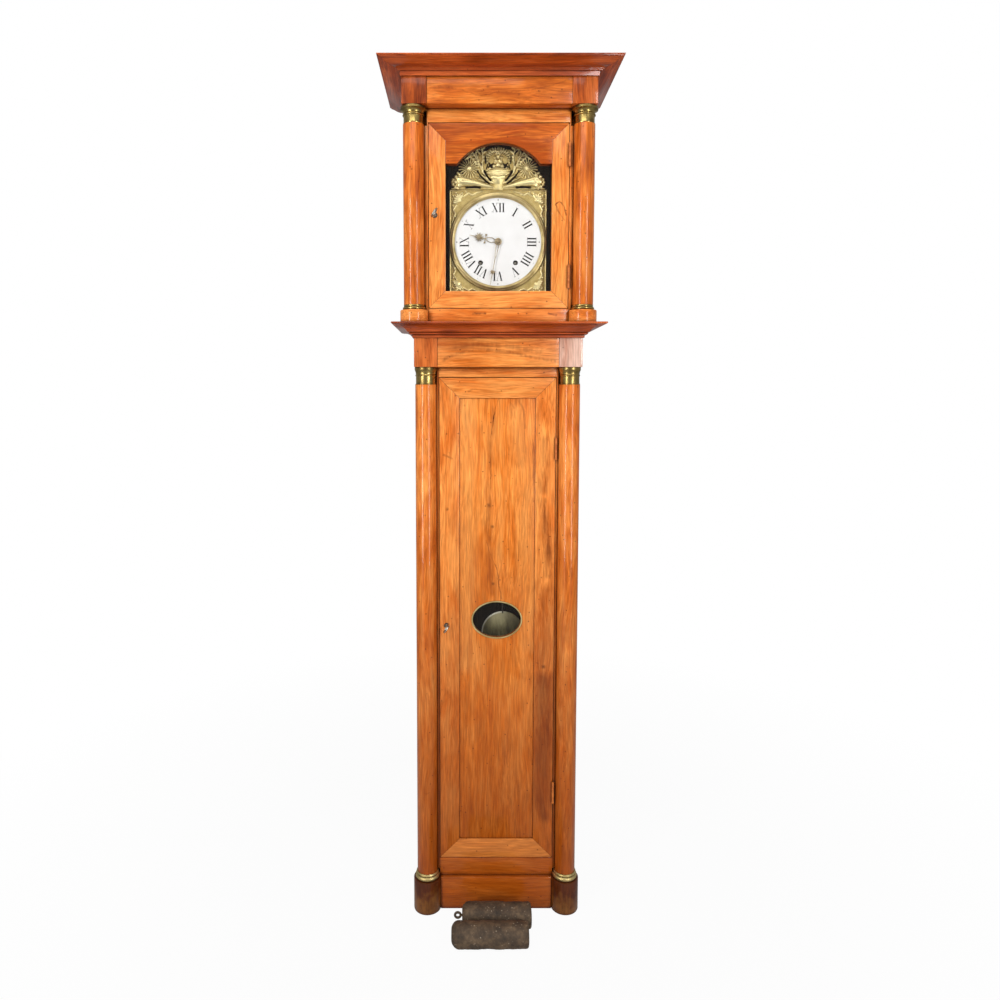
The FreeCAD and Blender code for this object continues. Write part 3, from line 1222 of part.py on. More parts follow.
def dial_bezel():
    bezel = turned("dial_bezel", "XY_Plane", "V_Axis", [
        ("dial_radius + bezel_seat_gap", "dial_thick"),
        ("dial_radius + bezel_seat_gap", "-bezel_seat_gap"), ("bezel_in", "-bezel_seat_gap"),
        ("bezel_in", "-bezel_thick / 2", "(bezel_in + bezel_out) / 2", "-bezel_thick"),
        ("bezel_out", "-bezel_thick / 3"), ("bezel_out", "dial_thick")])
    return place(bezel, "0", "-dial_front", DIAL_Z)


def dial_surround():
    """Brass plate with its arched pediment, holed like the dial, and its plain relief blocks."""
    low = f"({DIAL_Z} - surround_down)"
    shoulder = f"({DIAL_Z} + surround_up)"
    outline = [("-surround_half", low), ("surround_half", low), ("surround_half", shoulder),
               ("pediment_half", shoulder, "0", f"{shoulder} + pediment_rise"),
               ("-pediment_half", shoulder), ("-surround_half", shoulder)]
    holes = [("0", DIAL_Z, "centre_hole"),
             ("-winding_out", f"{DIAL_Z} - winding_down", "winding_hole"),
             ("winding_out", f"{DIAL_Z} - winding_down", "winding_hole")]
    plate = padded("surround_plate", "XZ_Plane", [outline], "surround_thick", holes)
    back = "(-dial_front + dial_thick + surround_thick)"
    place(plate, "0", back)
    front = "(-dial_front + dial_thick)"
    items = [plate]
    for side in (-1, 1):
        items.append(rod(mirror_name("rosette", side), f"{side} * rosette_out", f"{front} - relief_thick",
                         f"{shoulder} + rosette_up", "rosette_radius", "relief_thick", "back"))
    items.append(box("flower_basket", "-basket_half", f"{front} - relief_thick",
                     f"{shoulder} + basket_up", "2 * basket_half", "relief_thick", "basket_tall"))
    sub_part("dial_surround", *items)


def make_dial():
    dial_surround()
    sub_part("enamel_dial", enamel_dial())
    sub_part("dial_bezel", dial_bezel())


# Pendulum


def pallet_anchor():
    """The anchor over the escape wheel, as a yoke whose arms pass clear of the wheel."""
    reach = value("escape_radius") + value("pallet_clear")
    wide, thick = value("pallet_wide"), value("anchor_thick")
    drop = value("escape_radius") + value("escape_depth")
    outer = reach + wide
    outline = [(-wide, wide), (wide, wide), (outer, -drop / 2), (outer, -drop), (reach, -drop),
               (reach, -drop / 2), (0.0, -wide / 2), (-reach, -drop / 2), (-reach, -drop),
               (-outer, -drop), (-outer, -drop / 2)]
    plane = -value("escape_plane") - (thick - value("wheel_thick")) / 2
    points = [FreeCAD.Vector(x, plane, z) for x, z in outline]
    yoke = Part.Face(Part.makePolygon(points + [points[0]])).extrude(FreeCAD.Vector(0, thick, 0))
    arbor = bar_solid(value("arbor_radius"), -value("rod_plane") - value("rod_radius"), -value("cage_rear"))
    return yoke.fuse(arbor)


# Where the lens of the bob passes, as a share of its radius and of its thickness
bob_out_share = 0.6
bob_swell_share = 0.36


def make_pendulum(at):
    train_part("anchor", pallet_anchor(), *at["pendulum"])
    x, pivot = at["pendulum"]
    aside = repr(round(x, 6))
    low = f"({BOB_Z} - bob_radius - rod_below)"
    top = repr(round(pivot - value("arbor_radius"), 6))
    sub_part("pendulum_rod", rod("pendulum_rod", aside, "-rod_plane", low, "rod_radius", f"{top} - {low}"))
    swell_out, swell_up = f"bob_radius * {bob_out_share}", f"bob_thick * {bob_swell_share}"
    disc = turned("bob_disc", "XY_Plane", "V_Axis", [
        ("0", "bob_thick / 2"), ("0", "-bob_thick / 2", swell_out, f"-{swell_up}"),
        ("bob_radius", "-bob_rim / 2"), ("bob_radius", "bob_rim / 2", swell_out, swell_up)])
    place(disc, aside, "-rod_plane", BOB_Z)
    bore = rod("bob_bore", aside, "-rod_plane", f"{BOB_Z} - 2 * bob_radius",
               "rod_radius + running_fit", "4 * bob_radius")
    nut = rod("rating_nut_blank", aside, "-rod_plane", f"{BOB_Z} - bob_radius - nut_tall",
              "nut_radius", "nut_tall")
    nut_bore = rod("rating_nut_bore", aside, "-rod_plane", f"{BOB_Z} - bob_radius - 2 * nut_tall",
                   "rod_radius + running_fit", "3 * nut_tall")
    sub_part("pendulum_bob", cut("bob_holed", disc, bore), cut("rating_nut", nut, nut_bore))


# Bell and hammer


# Where the flank of the bell's cup passes, as a share of its radius and of its height
bell_flank_share = 0.76


def make_bell():
    base = f"({SEAT_Z} + seat_thick + {CAGE_TALL} + cage_plate)"
    rim = f"({base} + bell_up)"
    bell = turned("bell_cup", "XZ_Plane", "V_Axis", [
        ("bell_post", "bell_tall - bell_wall"),
        ("bell_post", "bell_tall"),
        ("bell_nut", "bell_tall", f"{bell_flank_share} * bell_radius", f"{bell_flank_share} * bell_tall"),
        ("bell_radius", "0"),
        ("bell_radius - bell_wall", "0", f"{bell_flank_share} * (bell_radius - bell_wall)",
         f"{bell_flank_share} * (bell_tall - bell_wall)")])
    place(bell, "0", "-bell_back", rim)
    post = rod("bell_post_bar", "0", "-bell_back", base, "bell_post - running_fit", "bell_up + bell_tall")
    nut = rod("bell_nut_disc", "0", "-bell_back", f"{rim} + bell_tall", "bell_nut", "bell_wall")
    sub_part("bell", bell, post, nut)


def make_hammer():
    """An upright arbor whose arm holds the hammer's head beside the rim of the bell."""
    low = f"({SEAT_Z} + seat_thick + cage_plate)"
    rim = f"({SEAT_Z} + seat_thick + {CAGE_TALL} + cage_plate + bell_up)"
    level = f"({rim} + hammer_head)"
    arbor = rod("hammer_arbor_bar", "-hammer_aside", "-hammer_back", low, "hammer_arbor",
                f"{level} + hammer_arm - {low}")
    arm = box("hammer_arm_bar", "-hammer_aside - hammer_arm", "-bell_back", f"{level} - hammer_arm",
              "2 * hammer_arm", "bell_back - hammer_back", "2 * hammer_arm")
    tip = "(-bell_radius - hammer_gap)"
    head = rod("hammer_head_bar", f"{tip} - hammer_long", "-bell_back", level, "hammer_head",
               "hammer_long", "right")
    sub_part("hammer", fuse("hammer", arbor, arm, head))


# Weights


def make_weight(label, long, mid, back, with_eye):
    """A cast cylinder lying on the floor, rounded at its hanging end and flat at its foot."""
    half = f"({long} / 2)"
    inset = f"{weight_round_share} * weight_round"
    rounded = [(f"-{half}", "weight_radius - weight_round", f"-{half} + {inset}", f"weight_radius - {inset}"),
               (f"-{half} + weight_round", "weight_radius"), (f"{half} - weight_chamfer", "weight_radius"),
               (half, "weight_radius - weight_chamfer"), (half, "0")]
    if with_eye:
        start = [(f"-{half}", "0")]
    else:
        start = [(f"-{half} + hook_hole_deep", "0"), (f"-{half} + hook_hole_deep", "hook_hole"),
                 (f"-{half}", "hook_hole")]
    body = turned(label + "_casting", "XZ_Plane", "H_Axis", start + rounded)
    place(body, mid, f"-{back}", "weight_radius")
    if not with_eye:
        sub_part(label, body)
        return
    eye = doc.addObject("Part::Torus", label + "_eye_ring")
    eye.Placement.Rotation = FreeCAD.Rotation(FreeCAD.Vector(1, 0, 0), 90)
    bind(eye, "Radius1", "eye_radius")
    bind(eye, "Radius2", "eye_wire")
    place(eye, f"{mid} - {half} - eye_radius - eye_wire - eye_neck", f"-{back}", "weight_radius")
    shank = rod(label + "_eye_shank", f"{mid} - {half} - eye_wire - eye_neck", f"-{back}",
                "weight_radius", "eye_wire", "eye_wire + eye_neck", "right")
    sub_part(label, body, fuse(label + "_eye", eye, shank))


# How far in from its end, and down from its side, a weight's rounded corner passes
weight_round_share = 0.29


def make_weights():
    make_weight("front_weight", "front_weight_long", "front_weight_mid", "front_weight_back", False)
    make_weight("rear_weight", "rear_weight_long", "rear_weight_mid", "rear_weight_back", True)


# The whole clock
make_columns()
make_posts()
make_rails()
make_case_boards()
make_cornices()
make_doors()
make_hinges()
make_locks()
make_seat()
layout = arbor_layout()
make_cage(layout)
make_dial()
make_motion_work(layout)
make_hands()
make_going_train(layout)
make_strike_train(layout)
make_pendulum(layout)
make_bell()
make_hammer()
make_weights()
doc.recompute()

for item in doc.Objects:
    if "Invalid" in item.State or "Error" in item.State:
        raise ValueError(f"{item.Label} failed: {item.State}")
for label, item in parts.items():
    if item.Shape.isNull() or not item.Shape.isValid() or not item.Shape.Solids:
        raise ValueError(f"{label} has no valid solid")

os.makedirs("parts", exist_ok=True)
for label, item in parts.items():
    item.Shape.exportStep(f"parts/{label}.step")
print(len(parts), "parts,", sum(len(item.Shape.Solids) for item in parts.values()), "solids")
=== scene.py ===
"""Looks of a French country longcase clock: polished fruitwood, brass mounts and an enamel dial.

X runs to the right, Y to the back, Z up, with the origin on the floor at the wall face. Blender's
meshes are in metres. The numbers of this script are in millimetres, unless they say otherwise.
"""
import json
import math

import bmesh
import bpy
import numpy as np
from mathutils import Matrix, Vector, noise


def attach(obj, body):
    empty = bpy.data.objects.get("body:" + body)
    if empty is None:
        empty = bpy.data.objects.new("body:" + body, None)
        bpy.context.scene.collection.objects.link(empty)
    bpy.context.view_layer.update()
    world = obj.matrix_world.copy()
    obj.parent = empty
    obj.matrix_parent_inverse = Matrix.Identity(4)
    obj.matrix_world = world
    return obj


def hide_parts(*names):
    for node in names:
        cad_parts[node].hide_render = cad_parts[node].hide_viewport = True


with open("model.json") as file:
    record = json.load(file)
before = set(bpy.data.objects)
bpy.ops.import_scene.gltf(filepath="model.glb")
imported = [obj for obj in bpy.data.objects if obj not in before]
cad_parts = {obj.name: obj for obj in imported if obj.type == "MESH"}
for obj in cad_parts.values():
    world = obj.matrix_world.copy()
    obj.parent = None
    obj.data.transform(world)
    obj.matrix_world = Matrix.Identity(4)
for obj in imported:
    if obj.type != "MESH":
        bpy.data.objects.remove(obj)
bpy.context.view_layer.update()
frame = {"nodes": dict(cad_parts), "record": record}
cad_nodes = frame["nodes"]
body_of_node = {node: body for body, nodes in frame["record"]["behaviour"]["bodies"].items()
                for node in nodes}
slot_of_node = {part["node"]: part["material_slot"] for part in frame["record"]["subparts"]}

MM = 0.001
SIDES = ((-1, "left"), (1, "right"))

# Levels and planes of the case
trunk_half, hood_half = 221.0, 247.5
trunk_face, hood_face = -225.0, -255.0
forward = 36.0
trunk_column_x, hood_column_x = 192.0, 219.5
column_stand = 2.0
dial_x, dial_y, dial_z = 0.0, -220.0, 1841.3


# Materials


def colour(hex_text):
    """A linear colour from an sRGB hex value."""
    channels = [int(hex_text[start:start + 2], 16) / 255 for start in (1, 3, 5)]
    linear = [c / 12.92 if c <= 0.04045 else ((c + 0.055) / 1.055) ** 2.4 for c in channels]
    return (*linear, 1.0)


def add_node(tree, kind, inputs=None, stops=None, **settings):
    """Add a node with its settings, its colour stops, and a value or a link for each input.

    A node given as an input stands for its first output, and a hex text for its colour. A kind
    that names no family is a shader node.
    """
    node = tree.nodes.new(kind if "Node" in kind else "ShaderNode" + kind)
    for name, setting in settings.items():
        setattr(node, name, setting)
    for name, given in (inputs or {}).items():
        if isinstance(given, bpy.types.Node):
            given = given.outputs[0]
        if isinstance(given, bpy.types.NodeSocket):
            tree.links.new(given, node.inputs[name])
        else:
            node.inputs[name].default_value = colour(given) if isinstance(given, str) else given
    if stops:
        ramp = node.color_ramp
        while len(ramp.elements) < len(stops):
            ramp.elements.new(0.5)
        for element, (place, hex_text) in zip(ramp.elements, stops):
            element.position = place
            element.color = colour(hex_text)
    return node


def new_material(name, **sockets):
    """A material and its tree, with its shader's own sockets set."""
    material = bpy.data.materials.new(name)
    material.use_nodes = True
    shader = material.node_tree.nodes["Principled BSDF"]
    for socket, given in sockets.items():
        shader.inputs[socket.replace("_", " ")].default_value = given
    return material, material.node_tree


def surface(tree, height=None, strength=0.0, depth_mm=0.0, **sockets):
    """Link nodes into the shader's sockets, and a height into its bump."""
    if height is not None:
        sockets["Normal"] = add_node(tree, "Bump", {
            "Height": height, "Strength": strength, "Distance": depth_mm * MM})
    for socket, given in sockets.items():
        tree.links.new(given.outputs[0], tree.nodes["Principled BSDF"].inputs[socket.replace("_", " ")])


def per_metre(size_mm):
    """The texture scale that gives a pattern about this size."""
    return 1.0 / (size_mm * MM)


def drawn_noise(tree, place, size_mm, squeeze, detail=2.0, rough=0.5):
    """A noise about this size, drawn out along the axes that are squeezed."""
    squeezed = add_node(tree, "Mapping", {"Vector": place, "Scale": squeeze})
    return add_node(tree, "TexNoise", {
        "Vector": squeezed, "Scale": per_metre(size_mm), "Detail": detail, "Roughness": rough})


def folded(tree, values, operation):
    """One value of several, such as the highest."""
    total = values[0]
    for value in values[1:]:
        total = add_node(tree, "Math", {0: total, 1: value}, operation=operation)
    return total


def stain(tree, under, value, clean_at, full_at, most, over):
    """A colour over another, from none of it where the value is clean to most of it where it is full."""
    share = add_node(tree, "MapRange", {
        "Value": value, "From Min": clean_at, "From Max": full_at, "To Max": most})
    return add_node(tree, "MixRGB", {"Fac": share, "Color1": under, "Color2": over})


def corner_dirt_and_shade(tree, under, reach_mm, over):
    """The colour, with dirt in the corners that a cloth can't reach, and painted shade there."""
    open_sky = add_node(tree, "AmbientOcclusion", {"Distance": reach_mm * MM}, samples=6)
    return stain(tree, under, open_sky.outputs["AO"], 0.9, 0.35, 0.95, over)


# Knots and dark marks of the case: their place in the front faces, and a radius
DARK_MARKS = [
    (128, -225, 693, 7), (48, -291, 2192, 4), (-30, -291, 2212, 4), (200, -284, 1923, 7),
    (-135, -225, 1130, 5), (100, -291, 2200, 4), (-88, -225, 1410, 4), (-13, -222, 1082, 5),
    (-10, -222, 924, 5), (-22, -222, 1140, 7)]

# Figure of single boards: strength, half width, plane, and its line in X and Z
CASE_FIGURE = [
    (0.45, 5.0, -261, [(-146, 1529), (-111, 1547), (-64, 1556), (-12, 1556), (46, 1547), (105, 1534),
                       (151, 1527)]),
    (0.3, 10.0, -261, [(-120, 1562), (-48, 1572), (17, 1568), (109, 1552)]),
    (0.72, 2.6, -291, [(-166, 2214), (-97, 2204), (-51, 2189), (-10, 2197), (37, 2199), (83, 2204),
                       (139, 2216), (179, 2231)]),
    (0.8, 3.4, -255, [(-65, 1651), (-33, 1652)]),
    (0.7, 3.0, -255, [(132, 1652), (151, 1647)]),
    (0.8, 2.2, -255, [(146, 1929), (151, 1934), (157, 1936), (163, 1933), (168, 1926), (172, 1916),
                      (174, 1903)]),
    (0.6, 2.2, -255, [(149, 1927), (154, 1915), (162, 1901), (170, 1890)]),
    (0.4, 12.0, -225, [(128, 1318), (131, 1264), (124, 1182)]),
    (0.6, 12.0, -225, [(124, 1150), (132, 1090), (139, 1030), (143, 950)]),
    (0.26, 24.0, -225, [(136, 900), (132, 780), (130, 690)]),
    (0.66, 30.0, -225, [(130, 655), (132, 560), (128, 420), (130, 300)]),
    (0.72, 18.0, -225, [(124, 312), (136, 262)]),
    (0.6, 2.2, -225, [(110, 704), (120, 700), (128, 692), (136, 690), (143, 683)]),
    (0.95, 3.6, -258, [(-200, 346), (-192, 344), (-184, 348), (-175, 352)]),
    (0.4, 3.0, -225, [(-144, 1277), (-134, 1274), (-122, 1267)]),
    (0.4, 3.6, -225, [(-79, 1449), (-58, 1455)])]
PANEL_FIGURE = [
    (0.9, 2.0, -222, [(2, 1428), (-7, 1400), (-11, 1370), (-16, 1334)]),
    (0.6, 1.6, -222, [(-16, 1334), (-19, 1286), (-18, 1213)]),
    (0.3, 11.0, -222, [(-8, 1400), (-19, 1286), (-24, 1180), (-22, 1040), (-14, 900)]),
    (0.65, 1.4, -222, [(-30, 1045), (-15, 999), (-1, 968), (6, 925), (13, 881)]),
    (0.42, 2.6, -222, [(95, 1316), (98, 1277), (98, 1213), (99, 1150)]),
    (0.32, 3.4, -222, [(58, 1424), (70, 1398), (76, 1350)]),
    (0.3, 3.0, -222, [(30, 1424), (44, 1404)])]
PANEL_SAPWOOD = [
    (0.5, 28.0, -222, [(-84, 1425), (-78, 1236), (-80, 960), (-84, 700)]),
    (0.5, 30.0, -222, [(52, 1390), (78, 1230), (84, 980), (88, 760)])]
# From this half width on, a line is a broad shade
BROAD = 15.0


def dark_marks(tree, place):
    """A value that rises to 0.6 inside each knot and dark mark."""
    wobble = add_node(tree, "TexNoise", {"Vector": place, "Scale": per_metre(9)})
    values = []
    for x, y, z, radius in DARK_MARKS:
        apart = add_node(tree, "VectorMath", {0: place, 1: (x * MM, y * MM, z * MM)}, operation="DISTANCE")
        near = add_node(tree, "Math", {0: wobble, 1: radius * MM, 2: apart.outputs["Value"]},
                        operation="MULTIPLY_ADD")
        values.append(add_node(tree, "MapRange", {
            "Value": near, "From Min": radius * MM * 1.7, "From Max": radius * MM * 0.7, "To Max": 0.6}))
    return folded(tree, values, "MAXIMUM")


def line_figure(tree, place, lines):
    """A value that rises to its strength on each of the given lines in the wood."""
    # The lines wander by 4 mm
    drift = add_node(tree, "TexNoise", {"Vector": place, "Scale": per_metre(16), "Detail": 3.0})
    place = add_node(tree, "VectorMath", {
        0: drift.outputs["Color"], 1: (0.008, 0.0, 0.008), 2: place}, operation="MULTIPLY_ADD")
    place = add_node(tree, "VectorMath", {0: place, 1: (-0.004, 0.0, -0.004)})
    # A narrow line breaks up every 9 mm, a broad shade only every 40 mm
    breaks, kinds = {}, {half_width > BROAD for _, half_width, _, _ in lines}
    for broad, size_mm, least in ((False, 9, 0.25), (True, 40, 0.75)):
        if broad in kinds:
            breaks[broad] = add_node(tree, "MapRange", {
                "Value": drawn_noise(tree, place, size_mm, (1, 1, 0.2), 5.0),
                "From Min": 0.36, "From Max": 0.62, "To Min": least, "To Max": 1.15})
    values = []
    for strength, half_width, plane, line in lines:
        spots = [Vector((x, plane, z)) * MM for x, z in line]
        distances = []
        for start, end in zip(spots, spots[1:]):
            span = end - start
            reach = add_node(tree, "VectorMath", {0: place, 1: start}, operation="SUBTRACT")
            share = add_node(tree, "VectorMath", {0: reach, 1: span / span.length_squared},
                             operation="DOT_PRODUCT").outputs["Value"]
            share = add_node(tree, "Clamp", {"Value": share})
            foot = add_node(tree, "VectorMath", {0: span, "Scale": share}, operation="SCALE")
            distances.append(add_node(tree, "VectorMath", {0: reach, 1: foot},
                                      operation="DISTANCE").outputs["Value"])
        value = add_node(tree, "MapRange", {
            "Value": folded(tree, distances, "MINIMUM"), "From Min": half_width * 1.3 * MM,
            "From Max": half_width * 0.3 * MM, "To Max": strength})
        broken = breaks[half_width > BROAD]
        values.append(add_node(tree, "Math", {0: value, 1: broken}, operation="MULTIPLY"))
    return folded(tree, values, "MAXIMUM")


def wood(name, pale, middle, dark, coat, rough, figure=(), sapwood=(), marks=True, worn="#964406",
         reflection_colours=(), scuffed=""):
    """Fruitwood, planed and french polished: close grain under a deep gloss that shows the lamps.

    The wood turns to its worn colour low down, with painted shade and wear. Its reflection colours, from dark
    to pale, paint a reflection on a glossy front face, and its scuffed colour is that of a rubbed foot.
    """
    material, tree = new_material(name, Roughness=rough, Coat_Weight=coat, Coat_Roughness=0.1,
                                  Specular_IOR_Level=0.14)
    place = add_node(tree, "TexCoord").outputs["Object"]
    plane = add_node(tree, "SeparateXYZ", {0: place})
    grain = add_node(tree, "Attribute", attribute_name="grain").outputs["Vector"]
    tone = add_node(tree, "Attribute", attribute_name="tone").outputs["Fac"]
    drift = drawn_noise(tree, grain, 120, (0.3, 1, 1))
    bent = add_node(tree, "VectorMath", {0: drift.outputs["Color"], 1: (0.02, 0.05, 0.05), 2: grain},
                    operation="MULTIPLY_ADD")

    def along(size_mm, drawn, detail):
        """A noise about this wide across the grain, drawn out along it."""
        return drawn_noise(tree, bent, size_mm, (1 / drawn, 1, 1), detail, 0.6)

    # The board's tone, with wavy bands 16 mm apart, fibres 2.4 mm wide and clouds of 60 mm
    bands, fibres, clouds = along(16, 9, 2.0), along(2.4, 30, 4.0), along(60, 2.5, 3.0)
    shade = 0.0
    for source, share in ((tone, 0.3), (bands, 0.48), (fibres, 0.34), (clouds, 0.66)):
        shade = add_node(tree, "Math", {0: source, 1: share, 2: shade}, operation="MULTIPLY_ADD")
    ramp_places = (0.53, 0.73, 0.96)
    body = add_node(tree, "ValToRGB", {"Fac": shade}, stops=list(zip(ramp_places, (dark, middle, pale))))
    if reflection_colours:
        # A painted reflection turns the front face alone pale and pinkish grey
        painted_reflection = add_node(tree, "ValToRGB", {"Fac": shade}, stops=list(zip(ramp_places, reflection_colours)))
        die_front = (trunk_face - forward) * MM
        body = stain(tree, body, plane.outputs["Y"], die_front + 7.5 * MM, die_front + MM, 1.0, painted_reflection)
    if sapwood:
        body = add_node(tree, "MixRGB", {
            "Fac": line_figure(tree, place, sapwood), "Color1": body, "Color2": "#E69A50"})
    # A few dark heart streaks, about 30 mm wide and most of a board long
    body = stain(tree, body, along(34, 11, 3.0), 0.60, 0.72, 0.6, "#98450F")
    # Painted shade and wear darken the wood from 1.2 m down to the floor
    body = stain(tree, body, plane.outputs["Z"], 1.20, 0.15, 0.86, worn)
    if scuffed:
        # Brooms and mops have rubbed the foot pale in flakes, for 40 mm above the floor
        flakes = add_node(tree, "TexNoise", {"Vector": place, "Scale": per_metre(15), "Detail": 5.0})
        rubbed = plane.outputs["Z"]
        for source, share in ((clouds, -0.09), (flakes, -0.12)):
            rubbed = add_node(tree, "Math", {0: source, 1: share, 2: rubbed}, operation="MULTIPLY_ADD")
        body = stain(tree, body, rubbed, -0.036, -0.092, 0.75, scuffed)
    # Fibres and 5 mm streaks, lighter and darker than the board
    for lines, least, most in ((fibres, 0.76, 1.12), (along(5, 14, 3.0), 0.78, 1.16)):
        contrast = add_node(tree, "MapRange", {
            "Value": lines, "From Min": 0.3, "From Max": 0.7, "To Min": least, "To Max": most})
        body = add_node(tree, "VectorMath", {0: body, "Scale": contrast}, operation="SCALE")
    if figure:
        body = add_node(tree, "MixRGB", {
            "Fac": line_figure(tree, place, figure), "Color1": body, "Color2": "#5A2003"})
    # Worm holes about 3 mm wide, a few fingers apart
    holes = add_node(tree, "TexVoronoi", {"Vector": place, "Scale": per_metre(24)})
    dark_places = [add_node(tree, "MapRange", {
        "Value": holes.outputs["Distance"], "From Min": 0.10, "From Max": 0.045, "To Max": 0.75})]
    if marks:
        dark_places.append(dark_marks(tree, place))
    # Old wax and dirt in the joints and the inner corners, and painted shade: darker wherever other surfaces
    # lie within 13 mm
    open_sky = add_node(tree, "AmbientOcclusion", {"Distance": 13 * MM}, samples=6)
    dark_places.append(add_node(tree, "MapRange", {
        "Value": open_sky.outputs["AO"], "From Min": 0.86, "From Max": 0.36, "To Max": 0.92}))
    body = add_node(tree, "MixRGB", {
        "Fac": folded(tree, dark_places, "MAXIMUM"), "Color1": body, "Color2": "#431A08"})
    surface(tree, fibres, 0.12, 0.3, Base_Color=body)
    return material


def rough_wood():
    """Sawn softwood inside and behind the case: dull, brown with age, with its saw marks."""
    material, tree = new_material("sawn_softwood", Roughness=0.8)
    place = add_node(tree, "TexCoord").outputs["Object"]
    fibres = drawn_noise(tree, place, 6, (1, 1, 0.06), 5.0)
    boards = drawn_noise(tree, place, 60, (1, 1, 0.15))
    mixed = add_node(tree, "Math", {0: boards, 1: 0.6, 2: fibres}, operation="MULTIPLY_ADD")
    body = add_node(tree, "ValToRGB", {"Fac": mixed},
                    stops=[(0.55, "#22140C"), (0.85, "#402C1C"), (1.0, "#58422C")])
    surface(tree, fibres, 0.5, 0.8, Base_Color=body)
    return material


def brass(name, bright, dull, rough, tarnish_mm, texture_mm, relief_mm, metallic=1.0):
    """Brass, polished or pressed: yellow metal with brown tarnish and painted shade where the cloth doesn't
    reach.
    """
    material, tree = new_material(name, Metallic=metallic)
    place = add_node(tree, "TexCoord").outputs["Object"]
    patches = add_node(tree, "TexNoise", {"Vector": place, "Scale": per_metre(tarnish_mm), "Detail": 5.0})
    body = add_node(tree, "ValToRGB", {"Fac": patches}, stops=[(0.38, dull), (0.62, bright)])
    gloss = add_node(tree, "MapRange", {
        "Value": patches, "From Min": 0.35, "From Max": 0.65, "To Min": rough * 1.5, "To Max": rough})
    grit = add_node(tree, "TexNoise", {"Vector": place, "Scale": per_metre(texture_mm), "Detail": 3.0})
    surface(tree, grit, 0.4, relief_mm, Base_Color=corner_dirt_and_shade(tree, body, 4, "#33240F"), Roughness=gloss)
    return material


def pressed_brass():
    """Pressed sheet brass: bright on the raised work, brown and matt in the ground between."""
    material, tree = new_material("pressed_brass", Metallic=1.0)
    place = add_node(tree, "TexCoord").outputs["Object"]
    raised = add_node(tree, "Attribute", attribute_name="raised").outputs["Fac"]
    patches = add_node(tree, "TexNoise", {"Vector": place, "Scale": per_metre(14), "Detail": 5.0})
    level = add_node(tree, "Math", {0: patches, 1: 0.5, 2: raised}, operation="MULTIPLY_ADD")
    body = add_node(tree, "ValToRGB", {"Fac": level},
                    stops=[(0.15, "#86703A"), (0.42, "#CDB472"), (0.95, "#F0DFA4")])
    gloss = add_node(tree, "MapRange", {
        "Value": level, "From Min": 0.2, "From Max": 0.9, "To Min": 0.52, "To Max": 0.32})
    stipple = add_node(tree, "TexVoronoi", {"Vector": place, "Scale": per_metre(2.4)})
    # Tarnish and painted shade darken the crevices between the raised work
    surface(tree, stipple, 0.45, 0.5, Base_Color=corner_dirt_and_shade(tree, body, 8, "#2E200C"), Roughness=gloss)
    return material


def tarnished_brass():
    """Sheet brass of the bob, never polished: dull green brown, paler towards its top, a painted highlight on
    its rim.
    """
    material, tree = new_material("tarnished_brass", Metallic=0.75)
    place = add_node(tree, "TexCoord").outputs["Object"]
    skin = drawn_noise(tree, place, 16, (1, 1, 0.4), 6.0, 0.65)
    body = add_node(tree, "ValToRGB", {"Fac": skin},
                    stops=[(0.35, "#5A5438"), (0.55, "#837C54"), (0.72, "#A8A27A")])
    level = add_node(tree, "SeparateXYZ", {0: place})
    # Paler towards the top of the bob
    body = stain(tree, body, level.outputs["Z"], 0.778, 0.826, 0.55, "#C2B992")
    # A painted highlight on the rim at the left, in metres round the middle of the bob
    upright = add_node(tree, "CombineXYZ", {"X": level.outputs["X"], "Z": level.outputs["Z"]})
    radius = add_node(tree, "VectorMath", {0: upright, 1: (0.019, 0.0, 0.7694)},
                      operation="DISTANCE").outputs["Value"]
    rim = add_node(tree, "MapRange", {
        "Value": radius, "From Min": 0.0545, "From Max": 0.057, "To Max": 0.9})
    left = add_node(tree, "MapRange", {"Value": level.outputs["X"], "From Min": 0.034, "From Max": 0.004})
    rubbed = add_node(tree, "Math", {0: rim, 1: left}, operation="MULTIPLY")
    body = add_node(tree, "MixRGB", {"Fac": rubbed, "Color1": body, "Color2": "#F0ECD8"})
    gloss = add_node(tree, "MapRange", {"Value": skin, "To Min": 0.6, "To Max": 0.32})
    surface(tree, Base_Color=body, Roughness=gloss)
    return material


def enamel():
    """Vitreous enamel on copper: white and glassy, very slightly uneven, with fine grey specks."""
    material, tree = new_material("vitreous_enamel", Roughness=0.12, Coat_Weight=0.5, Coat_Roughness=0.03)
    place = add_node(tree, "TexCoord").outputs["Object"]
    specks = add_node(tree, "TexVoronoi", {"Vector": place, "Scale": per_metre(11)})
    clouds = add_node(tree, "TexNoise", {"Vector": place, "Scale": per_metre(30), "Detail": 3.0})
    body = add_node(tree, "ValToRGB", {"Fac": clouds}, stops=[(0.3, "#EBEBE9"), (0.7, "#F2F2F1")])
    body = stain(tree, body, specks.outputs["Distance"], 0.06, 0.03, 0.5, "#9A958A")
    surface(tree, clouds, 0.1, 0.4, Base_Color=body)
    return material


def black_enamel():
    """Numerals fired into the dial: black, smooth and a little raised."""
    material, tree = new_material("black_enamel", Roughness=0.25)
    place = add_node(tree, "TexCoord").outputs["Object"]
    worn = add_node(tree, "TexNoise", {"Vector": place, "Scale": per_metre(4), "Detail": 3.0})
    surface(tree, Base_Color=add_node(tree, "ValToRGB", {"Fac": worn},
                                      stops=[(0.4, "#12110F"), (0.8, "#2E2B28")]))
    return material


